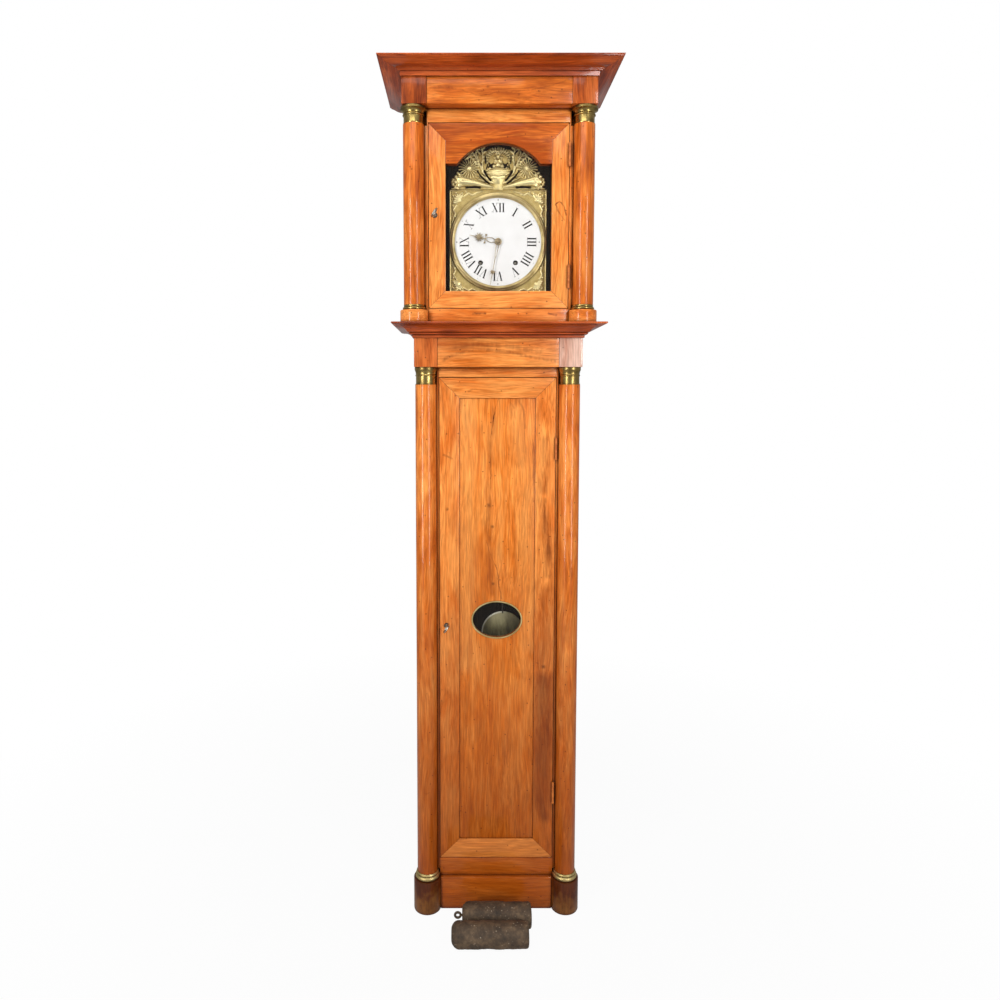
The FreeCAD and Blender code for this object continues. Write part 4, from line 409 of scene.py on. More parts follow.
def iron(name, dark, pale, rough, grain_mm, relief_mm, metallic):
    """Iron or steel, forged or cast: grey brown, rougher where the scale is thick."""
    material, tree = new_material(name, Metallic=metallic)
    place = add_node(tree, "TexCoord").outputs["Object"]
    scale = add_node(tree, "TexNoise", {
        "Vector": place, "Scale": per_metre(grain_mm), "Detail": 7.0, "Roughness": 0.7})
    body = add_node(tree, "ValToRGB", {"Fac": scale}, stops=[(0.35, dark), (0.65, pale)])
    gloss = add_node(tree, "MapRange", {
        "Value": scale, "To Min": rough * 0.8, "To Max": min(1.0, rough * 1.3)})
    surface(tree, scale, 0.6, relief_mm, Base_Color=body, Roughness=gloss)
    return material


def rough_casting():
    """Sand-cast iron of the weights: dark grey brown, pitted, with pale specks of lime and rust."""
    material, tree = new_material("sand_cast_iron", Metallic=0.15, Roughness=0.75)
    place = add_node(tree, "TexCoord").outputs["Object"]
    skin = add_node(tree, "TexNoise", {
        "Vector": place, "Scale": per_metre(26), "Detail": 8.0, "Roughness": 0.72})
    body = add_node(tree, "ValToRGB", {"Fac": skin}, stops=[
        (0.32, "#2E241A"), (0.5, "#4A3A2A"), (0.66, "#66523C"), (0.8, "#7C664E")])
    specks = add_node(tree, "TexVoronoi", {"Vector": place, "Scale": per_metre(8)})
    speck = add_node(tree, "MapRange", {
        "Value": specks.outputs["Distance"], "From Min": 0.22, "From Max": 0.08, "To Max": 0.75})
    # The specks lie in patches of 34 mm
    patches = add_node(tree, "TexNoise", {"Vector": place, "Scale": per_metre(34)})
    patch = add_node(tree, "MapRange", {"Value": patches, "From Min": 0.42, "From Max": 0.62})
    share = add_node(tree, "Math", {0: speck, 1: patch}, operation="MULTIPLY")
    body = add_node(tree, "MixRGB", {"Fac": share, "Color1": body, "Color2": "#B09F88"})
    pits = add_node(tree, "TexNoise", {"Vector": place, "Scale": per_metre(5), "Detail": 6.0})
    surface(tree, pits, 0.6, 1.0, Base_Color=body)
    return material


def pane_glass():
    """Old window glass: clear, thin and slightly grey, with a soft reflection."""
    material, _ = new_material("window_glass", Base_Color=colour("#57524C"), Roughness=0.04, Alpha=0.06,
                               Specular_IOR_Level=0.5)
    return material


CASE_COLOURS = ("#EE9648", "#D06C20", "#A4460A")
DIE_COLOURS = ("#D27030", "#AC4E18", "#742C0A")
# The case: warm orange with knots and streaks, and a strip of light down each column
fruitwood = wood("polished_fruitwood", *CASE_COLOURS, 0.3, 0.36, CASE_FIGURE)
# The cornices: redder and glossier, dark below their overhang
cornice_wood = wood("red_fruitwood", "#D4682E", "#B04A18", "#80300C", 0.45, 0.32)
# The door's panel: paler and calmer, with two bands of sapwood
panel_wood = wood("panel_fruitwood", "#EC9444", "#D6711E", "#AE4E10", 0.26, 0.38, PANEL_FIGURE,
                  PANEL_SAPWOOD)
# The dies over the columns: dark and mottled, one of them with a pale pink painted reflection on its front
# face
die_wood = wood("mottled_fruitwood", *DIE_COLOURS, 0.35, 0.34)
painted_reflection_wood = wood("bleached_fruitwood", *DIE_COLOURS, 0.35, 0.4,
                     reflection_colours=("#A47462", "#CC9C86", "#E4BCA8"))
# The feet: nearly black brown, rubbed pale just above the floor
root_wood = wood("dark_foot_wood", "#94521E", "#622E0E", "#341405", 0.3, 0.4, marks=False,
                 worn="#4A1E06", scuffed="#80501F")
# The door's bottom rail: wiped often, and with less painted shade low down, so it keeps its light colour
rail_wood = wood("wiped_fruitwood", *CASE_COLOURS, 0.3, 0.36, marks=False, worn="#B8692A")
inner_wood = rough_wood()
# Capitals, rings, bezel, hinges and hands: from bright yellow to nearly copper and pale gilt
polished_brass = brass("polished_brass", "#B59C5C", "#7A653A", 0.24, 30, 12, 0.15)
rubbed_brass = brass("rubbed_brass", "#CDB67C", "#93794A", 0.32, 12, 3, 0.2)
bezel_brass = brass("bezel_brass", "#DCC78E", "#AE9A66", 0.34, 40, 6, 0.1)
dark_brass = brass("lacquered_hinge_brass", "#C8722C", "#A4561E", 0.45, 12, 3, 0.2, 0.2)
hand_brass = brass("gilt_hand_brass", "#B8AA8C", "#8E7C60", 0.34, 9, 2, 0.1)
dial_brass = pressed_brass()
bob_brass = tarnished_brass()
dial_white = enamel()
numeral_black = black_enamel()
forged_iron = iron("forged_iron", "#2B2825", "#5B544C", 0.5, 14, 0.4, 0.8)
worn_steel = iron("worn_steel", "#8A857B", "#C8C0B2", 0.3, 6, 0.1, 1.0)
cast_iron = rough_casting()
glass = pane_glass()
MATERIAL_OF_SLOT = {
    "inner_wood": inner_wood, "brass": rubbed_brass, "iron": cast_iron, "steel": forged_iron,
    "glass": glass, "enamel": dial_white, "walnut": fruitwood, "dark_walnut": root_wood,
}


# Meshes

# Points weld within a distance. Edges stay sharp, are rounded and are flat from or up to an angle
WELD = 0.02
CREASE, SOFT_CREASE = math.radians(32), math.radians(70)
ARRIS_ANGLE, FLAT_ANGLE = math.radians(40), math.radians(0.5)


def make_piece(name, mesh, node, material, added=False):
    """An object on its node's body, in the given finish, which stands for the node unless it is added to it.
    """
    mesh.materials.clear()
    mesh.materials.append(material)
    piece = bpy.data.objects.new(name, mesh)
    bpy.context.scene.collection.objects.link(piece)
    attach(piece, body_of_node[node])
    if not added:
        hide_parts(node)
    return piece


def shade_smooth(mesh, crease=None):
    """Shade a mesh's curves smooth, but not its creases if it has any."""
    mesh.polygons.foreach_set("use_smooth", [True] * len(mesh.polygons))
    if crease is not None:
        mesh.set_sharp_from_angle(angle=crease)
    return mesh


def modified(mesh, kind, inputs=None, **settings):
    """The plain mesh that a modifier makes of a mesh."""
    holder = bpy.data.objects.new("bench", mesh)
    bpy.context.scene.collection.objects.link(holder)
    modifier = holder.modifiers.new("made", kind)
    for name, setting in settings.items():
        setattr(modifier, name, setting)
    for identifier, given in (inputs or {}).items():
        modifier[identifier] = given
    bpy.context.view_layer.update()
    made = bpy.data.meshes.new_from_object(holder.evaluated_get(bpy.context.evaluated_depsgraph_get()))
    bpy.data.objects.remove(holder)
    return made


def soften(mesh, arris=0.0):
    """Round the sharp edges of a mesh by an arris, if it has one, then shade its curves smooth."""
    if arris:
        mesh = modified(mesh, "BEVEL", width=arris * MM, segments=2, limit_method="ANGLE",
                        angle_limit=ARRIS_ANGLE)
    return shade_smooth(mesh, CREASE)


GRAIN_AXES = {"up": [2, 0, 1], "across": [0, 1, 2], "back": [1, 0, 2]}
# Each board takes its grain this far from the one before, in metres
BOARD_STEP = np.array([0.37, 0.11, 0.23], np.float32)


def lay_grain(mesh, direction, board, tone):
    """Store each point's place in its board's own axes, the first along the grain, and a tone."""
    count = len(mesh.vertices)
    places = np.empty(count * 3, np.float32)
    mesh.vertices.foreach_get("co", places)
    places = places.reshape(-1, 3)[:, GRAIN_AXES[direction]] + board * BOARD_STEP
    grain = mesh.attributes.new("grain", "FLOAT_VECTOR", "POINT")
    grain.data.foreach_set("vector", np.ascontiguousarray(places, np.float32).ravel())
    shade = mesh.attributes.new("tone", "FLOAT", "POINT")
    shade.data.foreach_set("value", np.full(count, tone, np.float32))
    return mesh


def solids_of(node):
    """The separate solids of a node, each a clean mesh, from left to right and from low to high."""
    whole = bmesh.new()
    whole.from_mesh(cad_nodes[node].data)
    bmesh.ops.remove_doubles(whole, verts=whole.verts, dist=WELD * MM)
    whole.verts.ensure_lookup_table()
    group_of = [-1] * len(whole.verts)
    groups = 0
    for start in whole.verts:
        if group_of[start.index] >= 0:
            continue
        waiting = [start]
        group_of[start.index] = groups
        while waiting:
            for edge in waiting.pop().link_edges:
                for vertex in edge.verts:
                    if group_of[vertex.index] < 0:
                        group_of[vertex.index] = groups
                        waiting.append(vertex)
        groups += 1
    meshes = []
    for group in range(groups):
        single = whole.copy()
        single.verts.ensure_lookup_table()
        others = [vertex for vertex in single.verts if group_of[vertex.index] != group]
        bmesh.ops.delete(single, geom=others, context="VERTS")
        bmesh.ops.dissolve_limit(single, angle_limit=FLAT_ANGLE, verts=single.verts, edges=single.edges)
        mesh = bpy.data.meshes.new(node)
        single.to_mesh(mesh)
        single.free()
        places = [vertex.co for vertex in mesh.vertices]
        middle = [round(sum(place[axis] for place in places) / len(places), 3) for axis in (0, 2)]
        meshes.append((middle, mesh))
    whole.free()
    return [mesh for _, mesh in sorted(meshes, key=lambda found: found[0])]


board_count = 0


def wood_piece(name, mesh, node, direction, tone, material=fruitwood, arris=0.9):
    """A board of its own: softened arrises, its own stretch of grain and its own tone."""
    global board_count
    board_count += 1
    make_piece(name, lay_grain(soften(mesh, arris), direction, board_count, tone), node, material)


def wood_copies(node, direction, tones, material=fruitwood, arris=0.9):
    """Each solid of a node as a wooden piece."""
    for index, mesh in enumerate(solids_of(node)):
        wood_piece(f"{node}_{index + 1}", mesh, node, direction, tones[index % len(tones)], material, arris)


def plain_copies(node, material, arris=0.0):
    """Each solid of a node again, smooth, in one material."""
    for index, mesh in enumerate(solids_of(node)):
        make_piece(f"{node}_{index + 1}", soften(mesh, arris), node, material)


def mesh_from(points, faces):
    """A mesh in metres from points in millimetres, its faces turned outwards."""
    shape = bmesh.new()
    corners = [shape.verts.new([value * MM for value in point]) for point in points]
    for face in faces:
        shape.faces.new([corners[index] for index in face])
    bmesh.ops.recalc_face_normals(shape, faces=shape.faces)
    mesh = bpy.data.meshes.new("made")
    shape.to_mesh(mesh)
    shape.free()
    return mesh


def closed_between(count):
    """Faces that close two equal loops of points: both ends, and the band between them."""
    faces = [list(range(count)), list(range(2 * count - 1, count - 1, -1))]
    return faces + [[i, i + count, (i + 1) % count + count, (i + 1) % count] for i in range(count)]


def prism(outline, front, rear):
    """A board from its front outline in X and Z, between two planes."""
    points = [(x, plane, z) for plane in (front, rear) for x, z in outline]
    return mesh_from(points, closed_between(len(outline)))


def turned(profile, centre, axis="up", steps=96, closed=False):
    """A turned form: radius and height along its axis, round a centre."""
    points, rows = [], []
    for radius, height in smooth_profile(profile):
        around = 1 if radius == 0 else steps
        rows.append(list(range(len(points), len(points) + around)))
        for step in range(around):
            angle = 2 * math.pi * step / steps
            u, v = radius * math.cos(angle), radius * math.sin(angle)
            offset = {"up": (u, v, height), "back": (u, height, v), "right": (height, u, v)}[axis]
            points.append(tuple(c + o for c, o in zip(centre, offset)))
    faces = []
    for low, high in list(zip(rows, rows[1:])) + ([(rows[-1], rows[0])] if closed else []):
        for step in range(steps):
            following = (step + 1) % steps
            if len(low) == 1 and len(high) == 1:
                continue
            if len(low) == 1:
                faces.append([low[0], high[following], high[step]])
            elif len(high) == 1:
                faces.append([low[step], low[following], high[0]])
            else:
                faces.append([low[step], low[following], high[following], high[step]])
    return mesh_from(points, faces)


def arc_points(start, middle, end, steps):
    """Points of the circle through three points, from the first to the last, without the last."""
    (ax, ay), (bx, by), (cx, cy) = start, middle, end
    d = 2 * (ax * (by - cy) + bx * (cy - ay) + cx * (ay - by))
    a2, b2, c2 = ax * ax + ay * ay, bx * bx + by * by, cx * cx + cy * cy
    ux = (a2 * (by - cy) + b2 * (cy - ay) + c2 * (ay - by)) / d
    uy = (a2 * (cx - bx) + b2 * (ax - cx) + c2 * (bx - ax)) / d
    radius = math.hypot(ax - ux, ay - uy)
    first = math.atan2(ay - uy, ax - ux)
    turn = (math.atan2(cy - uy, cx - ux) - first) % (2 * math.pi)
    half = (math.atan2(by - uy, bx - ux) - first) % (2 * math.pi)
    if half > turn:
        turn -= 2 * math.pi
    angles = [first + turn * k / steps for k in range(steps)]
    return [(ux + radius * math.cos(angle), uy + radius * math.sin(angle)) for angle in angles]


def smooth_profile(corners, steps=8):
    """A profile with arcs: a corner of four values starts one through its second pair.

    A fifth value gives that arc its own number of steps.
    """
    points = []
    for index, corner in enumerate(corners):
        if len(corner) < 4:
            points.append(corner)
            continue
        following = corners[(index + 1) % len(corners)]
        points += arc_points(corner[:2], corner[2:4], following[:2], corner[4] if corner[4:] else steps)
    return points


# Feet, columns and their brass


def make_columns():
    """Foot, ring, shaft and capital of the trunk's and the hood's column on each side."""
    for side, hand in SIDES:
        spot = (side * trunk_column_x, trunk_face - column_stand, 0)
        foot_top, shaft_low, shaft_high, top = 92, 112, 1466, 1512
        foot = turned([(0, 0), (35, 0), (37.2, 0.9), (38, 3), (38, foot_top), (0, foot_top)], spot)
        wood_piece(f"foot_block_{hand}", foot, "foot_blocks", "up", 0.1 * side, root_wood, 0.6)
        shaft = turned([(0, shaft_low), (28, shaft_low), (28, shaft_high), (0, shaft_high)], spot)
        wood_piece(f"trunk_column_{hand}", shaft, "trunk_columns", "up", 0.15, arris=0.3)
        ring = turned([
            (0, foot_top), (30, foot_top, 34, 98.4, 12), (30, 104.6), (29, 105.2, 31, 108), (29, 111),
            (28.6, shaft_low), (0, shaft_low)], spot)
        make_piece(f"foot_ring_{hand}", soften(ring), "column_rings", bezel_brass)
        capital = turned([
            (0, shaft_high), (27.6, shaft_high), (27.8, 1467.6), (26.4, 1468.6), (26.1, 1470), (26.1, 1488),
            (27.2, 1489, 27.9, 1490.3), (27.2, 1491.6), (26.5, 1493.4, 27.3, 1499.5), (29.2, 1504.2),
            (29.5, 1505.4), (29.5, 1511.4), (29.1, top), (0, top)], spot)
        make_piece(f"trunk_capital_{hand}", soften(capital), "column_capitals", polished_brass)

        spot = (side * hood_column_x, hood_face - column_stand, 0)
        block_low, block_top, shaft_low, shaft_high, top = 1625, 1659, 1672, 2128, 2170
        block = turned([
            (0, block_low), (36.5, block_low), (36.5, 1656.5), (35.6, 1658.4), (34, block_top),
            (0, block_top)], spot)
        wood_piece(f"hood_block_{hand}", block, "hood_blocks", "across", 0.2, arris=0.5)
        shaft = turned([(0, shaft_low), (27, shaft_low), (27, shaft_high), (0, shaft_high)], spot)
        wood_piece(f"hood_column_{hand}", shaft, "hood_columns", "up", -0.15, arris=0.3)
        ring = turned([
            (0, block_top), (26.4, block_top, 30, 1663, 10), (26.4, 1667, 27.3, 1669.5), (26.4, shaft_low),
            (0, shaft_low)], spot)
        make_piece(f"hood_ring_{hand}", soften(ring), "column_rings", polished_brass)
        capital = turned([
            (0, shaft_high), (26.2, shaft_high), (26.6, 2129.6), (25.6, 2130.6), (25.3, 2132), (25.3, 2148),
            (27.0, 2149.2, 27.9, 2150.8), (27.0, 2152.4), (26.0, 2155, 28.6, 2160.4), (32.6, 2163.0),
            (34, 2163.8), (34, 2169.3), (33.5, top), (0, top)], spot)
        make_piece(f"hood_capital_{hand}", soften(capital), "column_capitals", polished_brass)


# Boards, friezes and cornices

# Profiles of the mouldings, as shares of their reach and their height, from the case outwards
TOP_PROFILE = [
    (0.0, 0.0), (0.06, 0.0), (0.06, 0.36), (0.17, 0.36), (0.17, 0.42), (0.22, 0.42), (0.22, 0.48),
    (0.32, 0.50, 0.52, 0.54), (0.70, 0.68, 0.84, 0.80), (0.94, 0.86), (0.94, 0.92), (1.0, 0.92),
    (1.0, 1.0), (0.0, 1.0)]
WAIST_PROFILE = [
    (0.0, 0.0), (0.07, 0.0), (0.07, 0.17), (0.05, 0.20), (0.19, 0.22), (0.22, 0.29), (0.19, 0.36),
    (0.27, 0.38), (0.30, 0.41, 0.46, 0.68), (0.80, 0.83), (0.96, 0.86), (1.0, 0.93), (0.98, 1.0),
    (0.0, 1.0)]
PLINTH_LAP = 1.8


def make_cornice(node, shares, half, face, low, reach, tall):
    """Three mitred runs of a moulding: the front and a return along each side."""
    corners = [tuple(value * (tall if index % 2 else reach) for index, value in enumerate(corner))
               for corner in shares]
    profile = smooth_profile(corners, 10)

    def end(side, at_wall=False):
        """The profile's points at a mitre, or where a return meets the wall."""
        return [(side * (half + out), 0 if at_wall else face - out, low + up) for out, up in profile]

    runs = [("front", "across", end(-1) + end(1))]
    runs += [(hand, "back", end(side) + end(side, True)) for side, hand in SIDES]
    for hand, direction, points in runs:
        wood_piece(f"{node}_{hand}", mesh_from(points, closed_between(len(profile))), node, direction, 0.05,
                   cornice_wood, 0.6)


def make_case_woodwork():
    """Cornices, plinth and the boards, posts, rails and friezes of trunk and hood."""
    make_cornice("waist_cornice", WAIST_PROFILE, trunk_half, trunk_face - forward, 1588, 55, 37)
    make_cornice("top_cornice", TOP_PROFILE, hood_half, hood_face - forward, 2236, 56, 32)
    # The plinth laps behind each turned foot, so no light comes through beside it
    (plinth,) = solids_of("plinth_board")
    for vertex in plinth.vertices:
        vertex.co.x += math.copysign(PLINTH_LAP * MM, vertex.co.x)
    wood_piece("plinth_board_1", plinth, "plinth_board", "across", 0.1)
    wood_copies("trunk_rails", "across", [0.25, 0.45])
    wood_copies("trunk_posts", "up", [0.0])
    wood_copies("trunk_sides", "up", [-0.1])
    for node, finishes, tones in (("trunk_dies", (die_wood, painted_reflection_wood), (0.5, 0.5)),
                                  ("hood_dies", (die_wood, die_wood), (-0.3, 0.15))):
        for (_, hand), mesh, finish, tone in zip(SIDES, solids_of(node), finishes, tones):
            wood_piece(f"{node}_{hand}", mesh, node, "up", tone, finish)
    wood_copies("trunk_frieze", "across", [0.4])
    wood_copies("hood_rails", "across", [0.3, 0.5])
    wood_copies("hood_posts", "up", [0.1])
    wood_copies("hood_sides", "up", [-0.1])
    wood_copies("hood_frieze", "across", [-0.2])


# Doors

DOOR_THICK = 22.0
DOOR_ARRIS = 1.0


def make_door(node, half, face, member, low, high, top_outline, tones, bottom_wood=fruitwood):
    """A mitred door frame: two stiles, a top rail and a bottom rail."""
    inner = half - member
    stiles = [[(side * half, low), (side * half, high), (side * inner, high - member),
               (side * inner, low + member)] for side, _ in SIDES]
    bottom_outline = [(-half, low), (half, low), (inner, low + member), (-inner, low + member)]
    for label, outline, direction, tone, material in (
            ("stile_left", stiles[0], "up", tones[0], fruitwood),
            ("stile_right", stiles[1], "up", tones[1], fruitwood),
            ("top_rail", top_outline, "across", tones[2], fruitwood),
            ("bottom_rail", bottom_outline, "across", tones[3], bottom_wood)):
        wood_piece(f"{node}_{label}", prism(outline, face, face + DOOR_THICK), node, direction, tone,
                   material, DOOR_ARRIS)


def make_doors():
    """The trunk door with its panel, and the hood door with its arched rail."""
    half, member, low, high = 156.5, 54.0, 144.5, 1484.5
    inner = half - member
    make_door("trunk_door_frame", half, trunk_face, member, low, high,
              [(-half, high), (half, high), (inner, high - member), (-inner, high - member)],
              (0.35, 0.3, 0.4, 0.5), rail_wood)
    wood_copies("trunk_door_panel", "up", [0.15], panel_wood, 0.7)
    half, member, low, high = 181.3, 43.6, 1665.5, 2134.5
    inner, shoulder = half - member, high - 101.5
    arch_half, arch_rise = 108.0, 53.5
    arch = arc_points((arch_half, shoulder), (0.0, shoulder + arch_rise), (-arch_half, shoulder), 32)
    make_door("hood_door_frame", half, hood_face, member, low, high,
              [(-half, high), (half, high), (inner, high - member), (inner, shoulder)] + arch
              + [(-arch_half, shoulder), (-inner, shoulder), (-inner, high - member)],
              (0.4, 0.5, -0.65, 0.5))


# Pressed surround of the dial, as heights over a fine grid in millimetres from the dial's centre

plate_half, plate_low, plate_shoulder = 128.0, -136.0, 138.0
SHEET = 1.2


class Relief:
    """Raised work over a grid: a level that is positive inside the metal, and a height."""

    def __init__(self, low, high, pitch):
        self.pitch = pitch
        self.x, self.z = np.meshgrid(np.arange(low[0], high[0] + pitch / 2, pitch),
                                     np.arange(low[1], high[1] + pitch / 2, pitch))
        self.level = np.full(self.x.shape, -1.0)
        self.height = np.zeros(self.x.shape)

    def raise_by(self, inside, height):
        """Add a form: metal where it is positive, swelling to its height."""
        self.level = np.maximum(self.level, inside)
        self.height = np.maximum(self.height, height * np.sqrt(np.clip(inside, 0.0, 1.0)))

    def disc(self, x, z, radius, height):
        """Add a domed disc, and its mirror image."""
        self.raise_by(1.0 - np.hypot(np.abs(self.x) - x, self.z - z) / radius, height)

    def along(self, points, steps):
        """Steps along a bent line and its mirror image: the share of the way, and the grid's distances."""
        path = np.array(points if len(points) > 1 else points * 2, float)
        for step in range(steps + 1):
            way = step / steps * (len(path) - 1)
            first = min(int(way), len(path) - 2)
            spot = path[first] * (1 - way + first) + path[first + 1] * (way - first)
            yield step / steps, np.hypot(np.abs(self.x) - spot[0], self.z - spot[1])

    def stroke(self, points, radii, height, steps=18, rib=0.0):
        """Add a leaf or a stem along a bent line, with a rib down its middle if asked for."""
        inside = np.full(self.x.shape, -1.0)
        for share, apart in self.along(points, steps):
            radius = radii[0] + (radii[-1] - radii[0]) * share
            if len(radii) == 3:
                radius = (radii[0] * (1 - share) ** 2 + 2 * radii[1] * share * (1 - share)
                          + radii[2] * share ** 2)
            inside = np.maximum(inside, 1.0 - apart / radius)
        self.raise_by(inside, height * (1.0 - rib * np.clip((inside - 0.75) * 4.0, 0.0, 1.0)))

    def flower(self, x, z, inner, outer, petals, height):
        """Add a daisy: pointed petals round a domed heart."""
        dx, dz = np.abs(self.x) - x, self.z - z
        radius, angle = np.hypot(dx, dz), np.arctan2(dz, dx)
        aside = np.abs((angle / (2 * math.pi / petals)) % 1.0 - 0.5) * 2.0
        reach = (radius - inner * 0.6) / (outer - inner * 0.6)
        width = 1.0 - 0.62 * np.clip(reach, 0.0, 1.0) ** 2
        petal = np.minimum((width - aside) * 1.4, (1.0 - reach) * 3.0)
        petal = np.clip(np.where(radius < inner * 0.5, 1.0, petal), -1.0, 1.0)
        self.raise_by(petal, height * (0.45 + 0.3 * reach) * (radius < outer))
        self.disc(x, z, inner, height)

    def pierce(self, points, radius):
        """Cut a slot through the metal, with an edge that slopes over 4 mm."""
        for _, apart in self.along(points, 14):
            self.level = np.minimum(self.level, (apart - radius) / 4.0)

    def mesh(self, plane, thick, full):
        """Front, edges and flat back, with the ragged boundary drawn on to the true edge."""
        inside = self.level > 0
        rows, columns = self.x.shape
        cells = inside[:-1, :-1] & inside[1:, :-1] & inside[:-1, 1:] & inside[1:, 1:]
        used = np.zeros(self.x.shape, bool)
        for dz in (0, 1):
            for dx in (0, 1):
                used[dz:rows - 1 + dz, dx:columns - 1 + dx] |= cells
        count = int(used.sum())
        number = np.full(self.x.shape, -1)
        number[used] = np.arange(count)
        # Only the points of the boundary move, to where the level is zero
        inner = np.zeros(self.x.shape, bool)
        inner[1:-1, 1:-1] = cells[:-1, :-1] & cells[1:, :-1] & cells[:-1, 1:] & cells[1:, 1:]
        edge = used & ~inner
        slope_z, slope_x = np.gradient(self.level, self.pitch)
        steep = slope_x ** 2 + slope_z ** 2 + 1e-9
        limit = self.pitch * 0.6
        x, z = [(place + np.where(edge, np.clip(-self.level * slope / steep, -limit, limit), 0.0))[used]
                for place, slope in ((self.x, slope_x), (self.z, slope_z))]
        height = np.where(edge, np.minimum(self.height, 0.3), self.height)[used]
        front = np.stack([x + dial_x, plane - height, z + dial_z], 1)
        back = np.stack([x + dial_x, np.full(count, plane + thick), z + dial_z], 1)
        quads = np.stack([number[:-1, :-1][cells], number[:-1, 1:][cells], number[1:, 1:][cells],
                          number[1:, :-1][cells]], 1)
        faces = quads.tolist() + (quads[:, ::-1] + count).tolist()
        # The edges that only one front face has get a side face
        sides = {}
        for face in quads.tolist():
            for first, second in zip(face, face[1:] + face[:1]):
                if (second, first) in sides:
                    del sides[(second, first)]
                else:
                    sides[(first, second)] = True
        faces += [[second, first, first + count, second + count] for first, second in sides]
        mesh = bpy.data.meshes.new("pressed")
        mesh.from_pydata((np.concatenate([front, back]) * MM).tolist(), [], faces)
        mesh.update()
        raised = mesh.attributes.new("raised", "FLOAT", "POINT")
        raised.data.foreach_set("value", np.concatenate([height / full, np.zeros(count)]).astype(np.float32))
        return shade_smooth(mesh, SOFT_CREASE)


def leaf(work, start, end, wide, height, bow=3.0):
    """A pointed leaf with a sunk rib, bowed a little outwards."""
    (x0, z0), (x1, z1) = start, end
    long = math.hypot(x1 - x0, z1 - z0)
    middle = ((x0 + x1) / 2 + bow * (z1 - z0) / long, (z0 + z1) / 2 - bow * (x1 - x0) / long)
    work.stroke([start, middle, end], (wide * 0.35, wide * 1.5, 0.6), height, rib=0.5)


